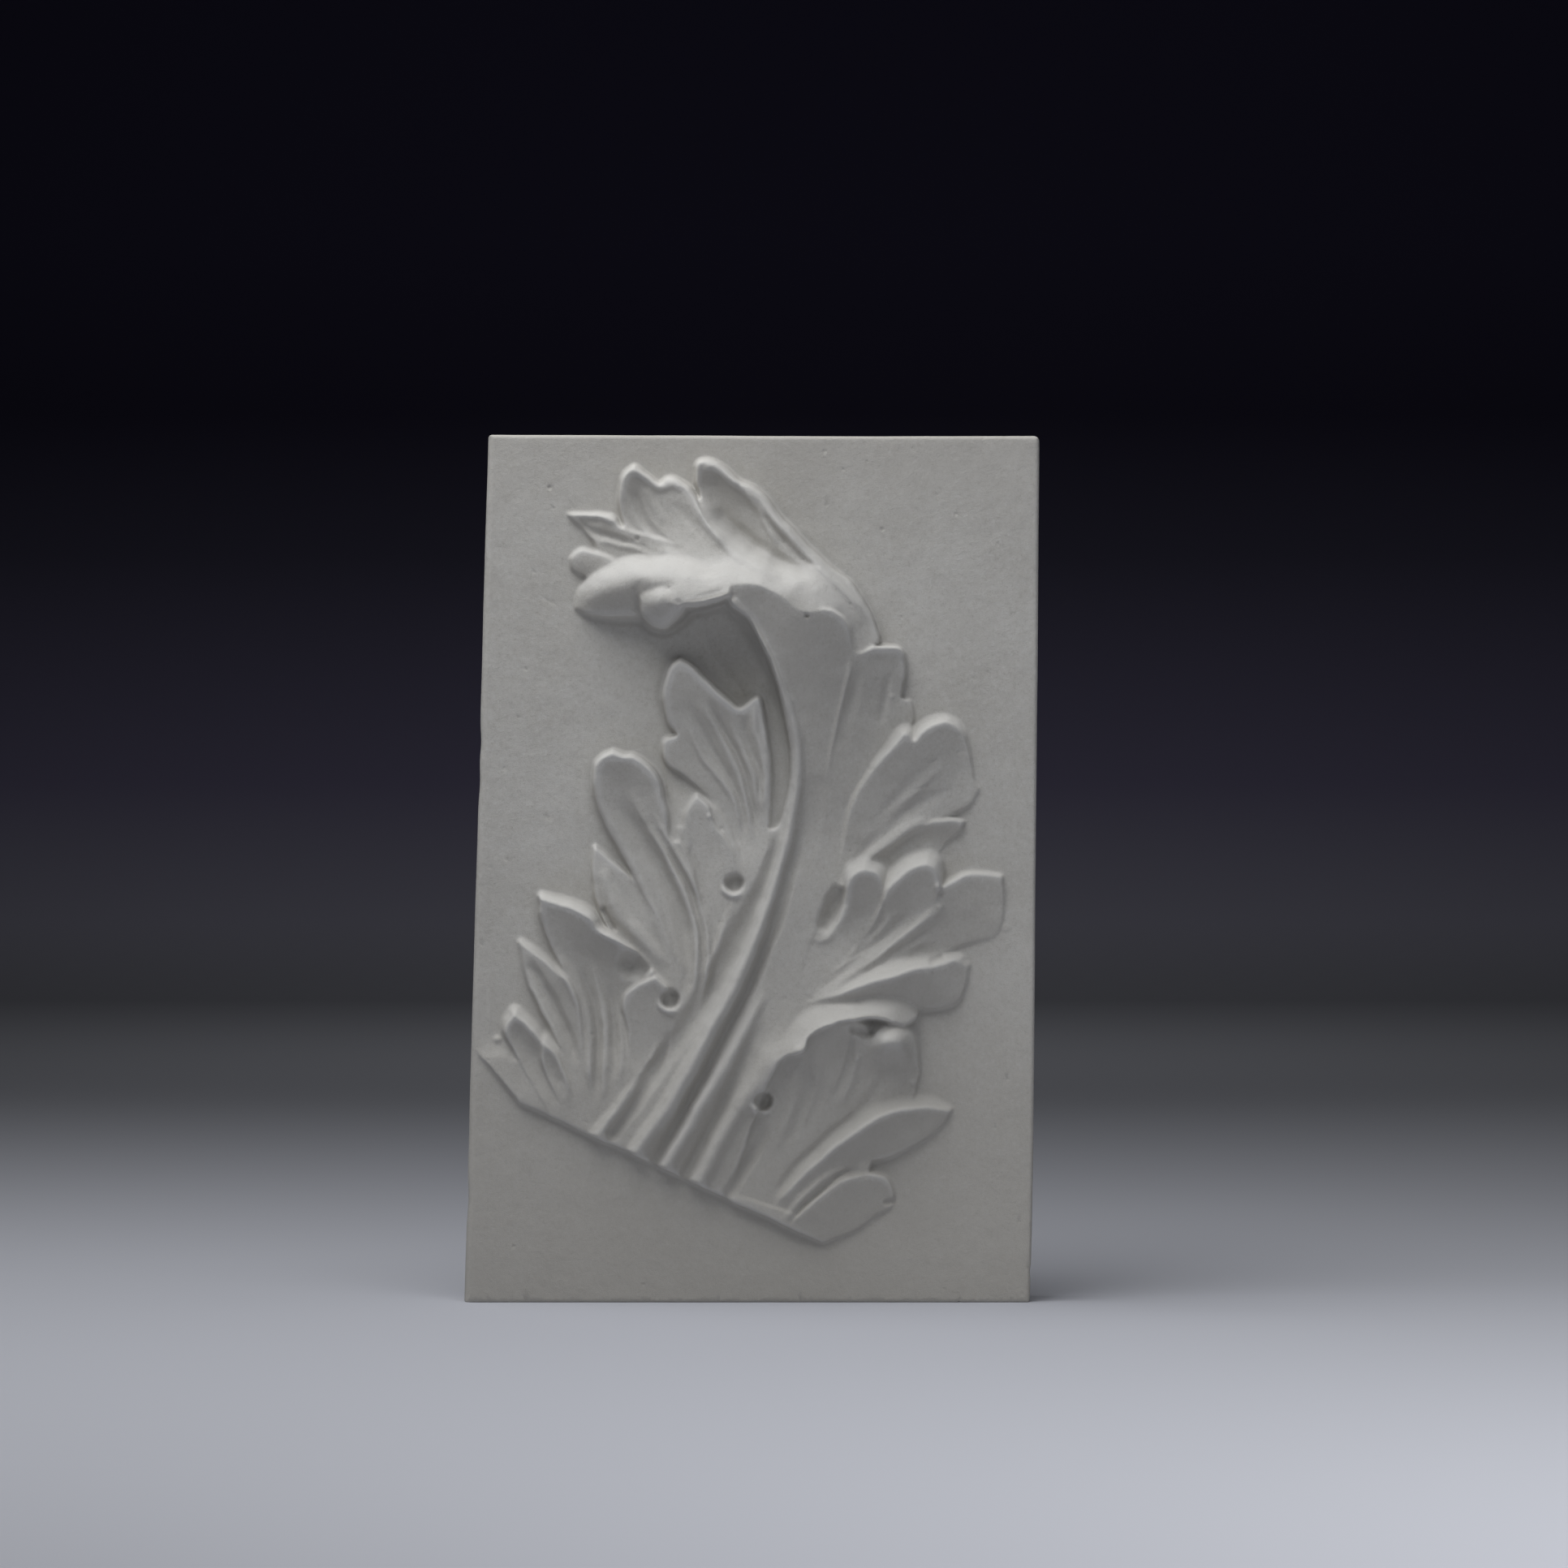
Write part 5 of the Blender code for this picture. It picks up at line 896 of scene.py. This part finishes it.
def paper_sweep():
    turn = np.linspace(0, np.pi / 2, 13)
    profile = [(SWEEP_FRONT, 0.0)]
    profile += [(SWEEP_BACK - SWEEP_BEND * (1 - np.sin(t)), SWEEP_BEND * (1 - np.cos(t))) for t in turn]
    profile.append((SWEEP_BACK, SWEEP_TOP))
    mesh = bmesh.new()
    rows = [[mesh.verts.new((side * SWEEP_WIDTH / 2, y, z)) for side in (-1, 1)] for y, z in profile]
    for (a, b), (c, d) in zip(rows, rows[1:]):
        mesh.faces.new((a, b, d, c))
    bmesh.ops.recalc_face_normals(mesh, faces=mesh.faces)
    data = bpy.data.meshes.new("floor")
    mesh.to_mesh(data)
    mesh.free()
    data.shade_smooth()
    floor = bpy.data.objects.new("floor", data)
    bpy.context.scene.collection.objects.link(floor)

    paper = bpy.data.materials.new("pale paper")
    paper.use_nodes = True
    tree = paper.node_tree
    place = tree.nodes.new("ShaderNodeTexCoord").outputs["Object"]
    parts = add_node(tree, "ShaderNodeSeparateXYZ", {0: place})
    # painted shade: the paper gets darker with height, where the lamps' light falls off
    height = add_node(tree, "ShaderNodeMapRange", {"Value": parts.outputs["Z"], "From Max": SHADED_OVER})
    shade = add_node(tree, "ShaderNodeValToRGB", {"Fac": height.outputs["Result"]})
    shade_stops = shade.color_ramp.elements
    for stop, (position, shaded_tone) in zip(shade_stops, SHADE_TONES):
        stop.position, stop.color = position, shaded_tone
    for position, shaded_tone in SHADE_TONES[2:]:
        shade_stops.new(position).color = shaded_tone
    set_inputs(tree, tree.nodes["Principled BSDF"], {"Base Color": shade.outputs["Color"], "Roughness": 0.9,
                                                     "Specular IOR Level": 0.1})
    data.materials.append(paper)
    return floor


paper_sweep()


# Light and camera: a soft lamp close above the cast and a little to its left, a weak one far in front,
# one that lights only the floor ahead, one for the paper behind, and a dark room. The camera is level,
# far off and straight in front.

FRAME_WIDTH = 0.8832      # what the picture takes in at the slab's face
CAMERA_AWAY, CAMERA_ASIDE, CAMERA_HEIGHT = 3.0, 0.0182, 0.292
SENSOR = 36.0             # millimetres


def soft_lamp(name, place, target, size, watts, beam=180.0):
    data = bpy.data.lights.new(name, "AREA")
    data.size = size
    data.energy = watts
    data.spread = np.radians(beam)
    lamp = bpy.data.objects.new(name, data)
    lamp.location = place
    lamp.rotation_euler = (Vector(target) - Vector(place)).to_track_quat("-Z", "Y").to_euler()
    bpy.context.scene.collection.objects.link(lamp)


soft_lamp("key", (-0.40, -0.40, 1.60), (0, 0, 0.20), 1.3, 21.0)
soft_lamp("fill", (0.6, -2.2, 0.9), (0, 0, 0.20), 1.4, 2.3)
soft_lamp("floor light", (0.8, -1.5, 1.8), (0.9, -1.1, 0), 0.5, 6.5, beam=75)
soft_lamp("paper light", (0, 2.2, 1.7), (0, 5.0, 0.0), 1.0, 2.0, beam=130)

room = bpy.data.worlds.new("dark room")
bpy.context.scene.world = room
room.use_nodes = True
set_inputs(room.node_tree, room.node_tree.nodes["Background"],
           {"Color": (0.75, 0.65, 1.0, 1), "Strength": 0.005})
bpy.context.scene.view_settings.view_transform = "Standard"

lens = bpy.data.cameras.new("camera")
lens.sensor_width = SENSOR
lens.lens = SENSOR * CAMERA_AWAY / FRAME_WIDTH
camera = bpy.data.objects.new("camera", lens)
camera.location = (CAMERA_ASIDE, FACE_Y - CAMERA_AWAY, CAMERA_HEIGHT)
camera.rotation_euler = (np.pi / 2, 0, 0)
bpy.context.scene.collection.objects.link(camera)
bpy.context.scene.camera = camera
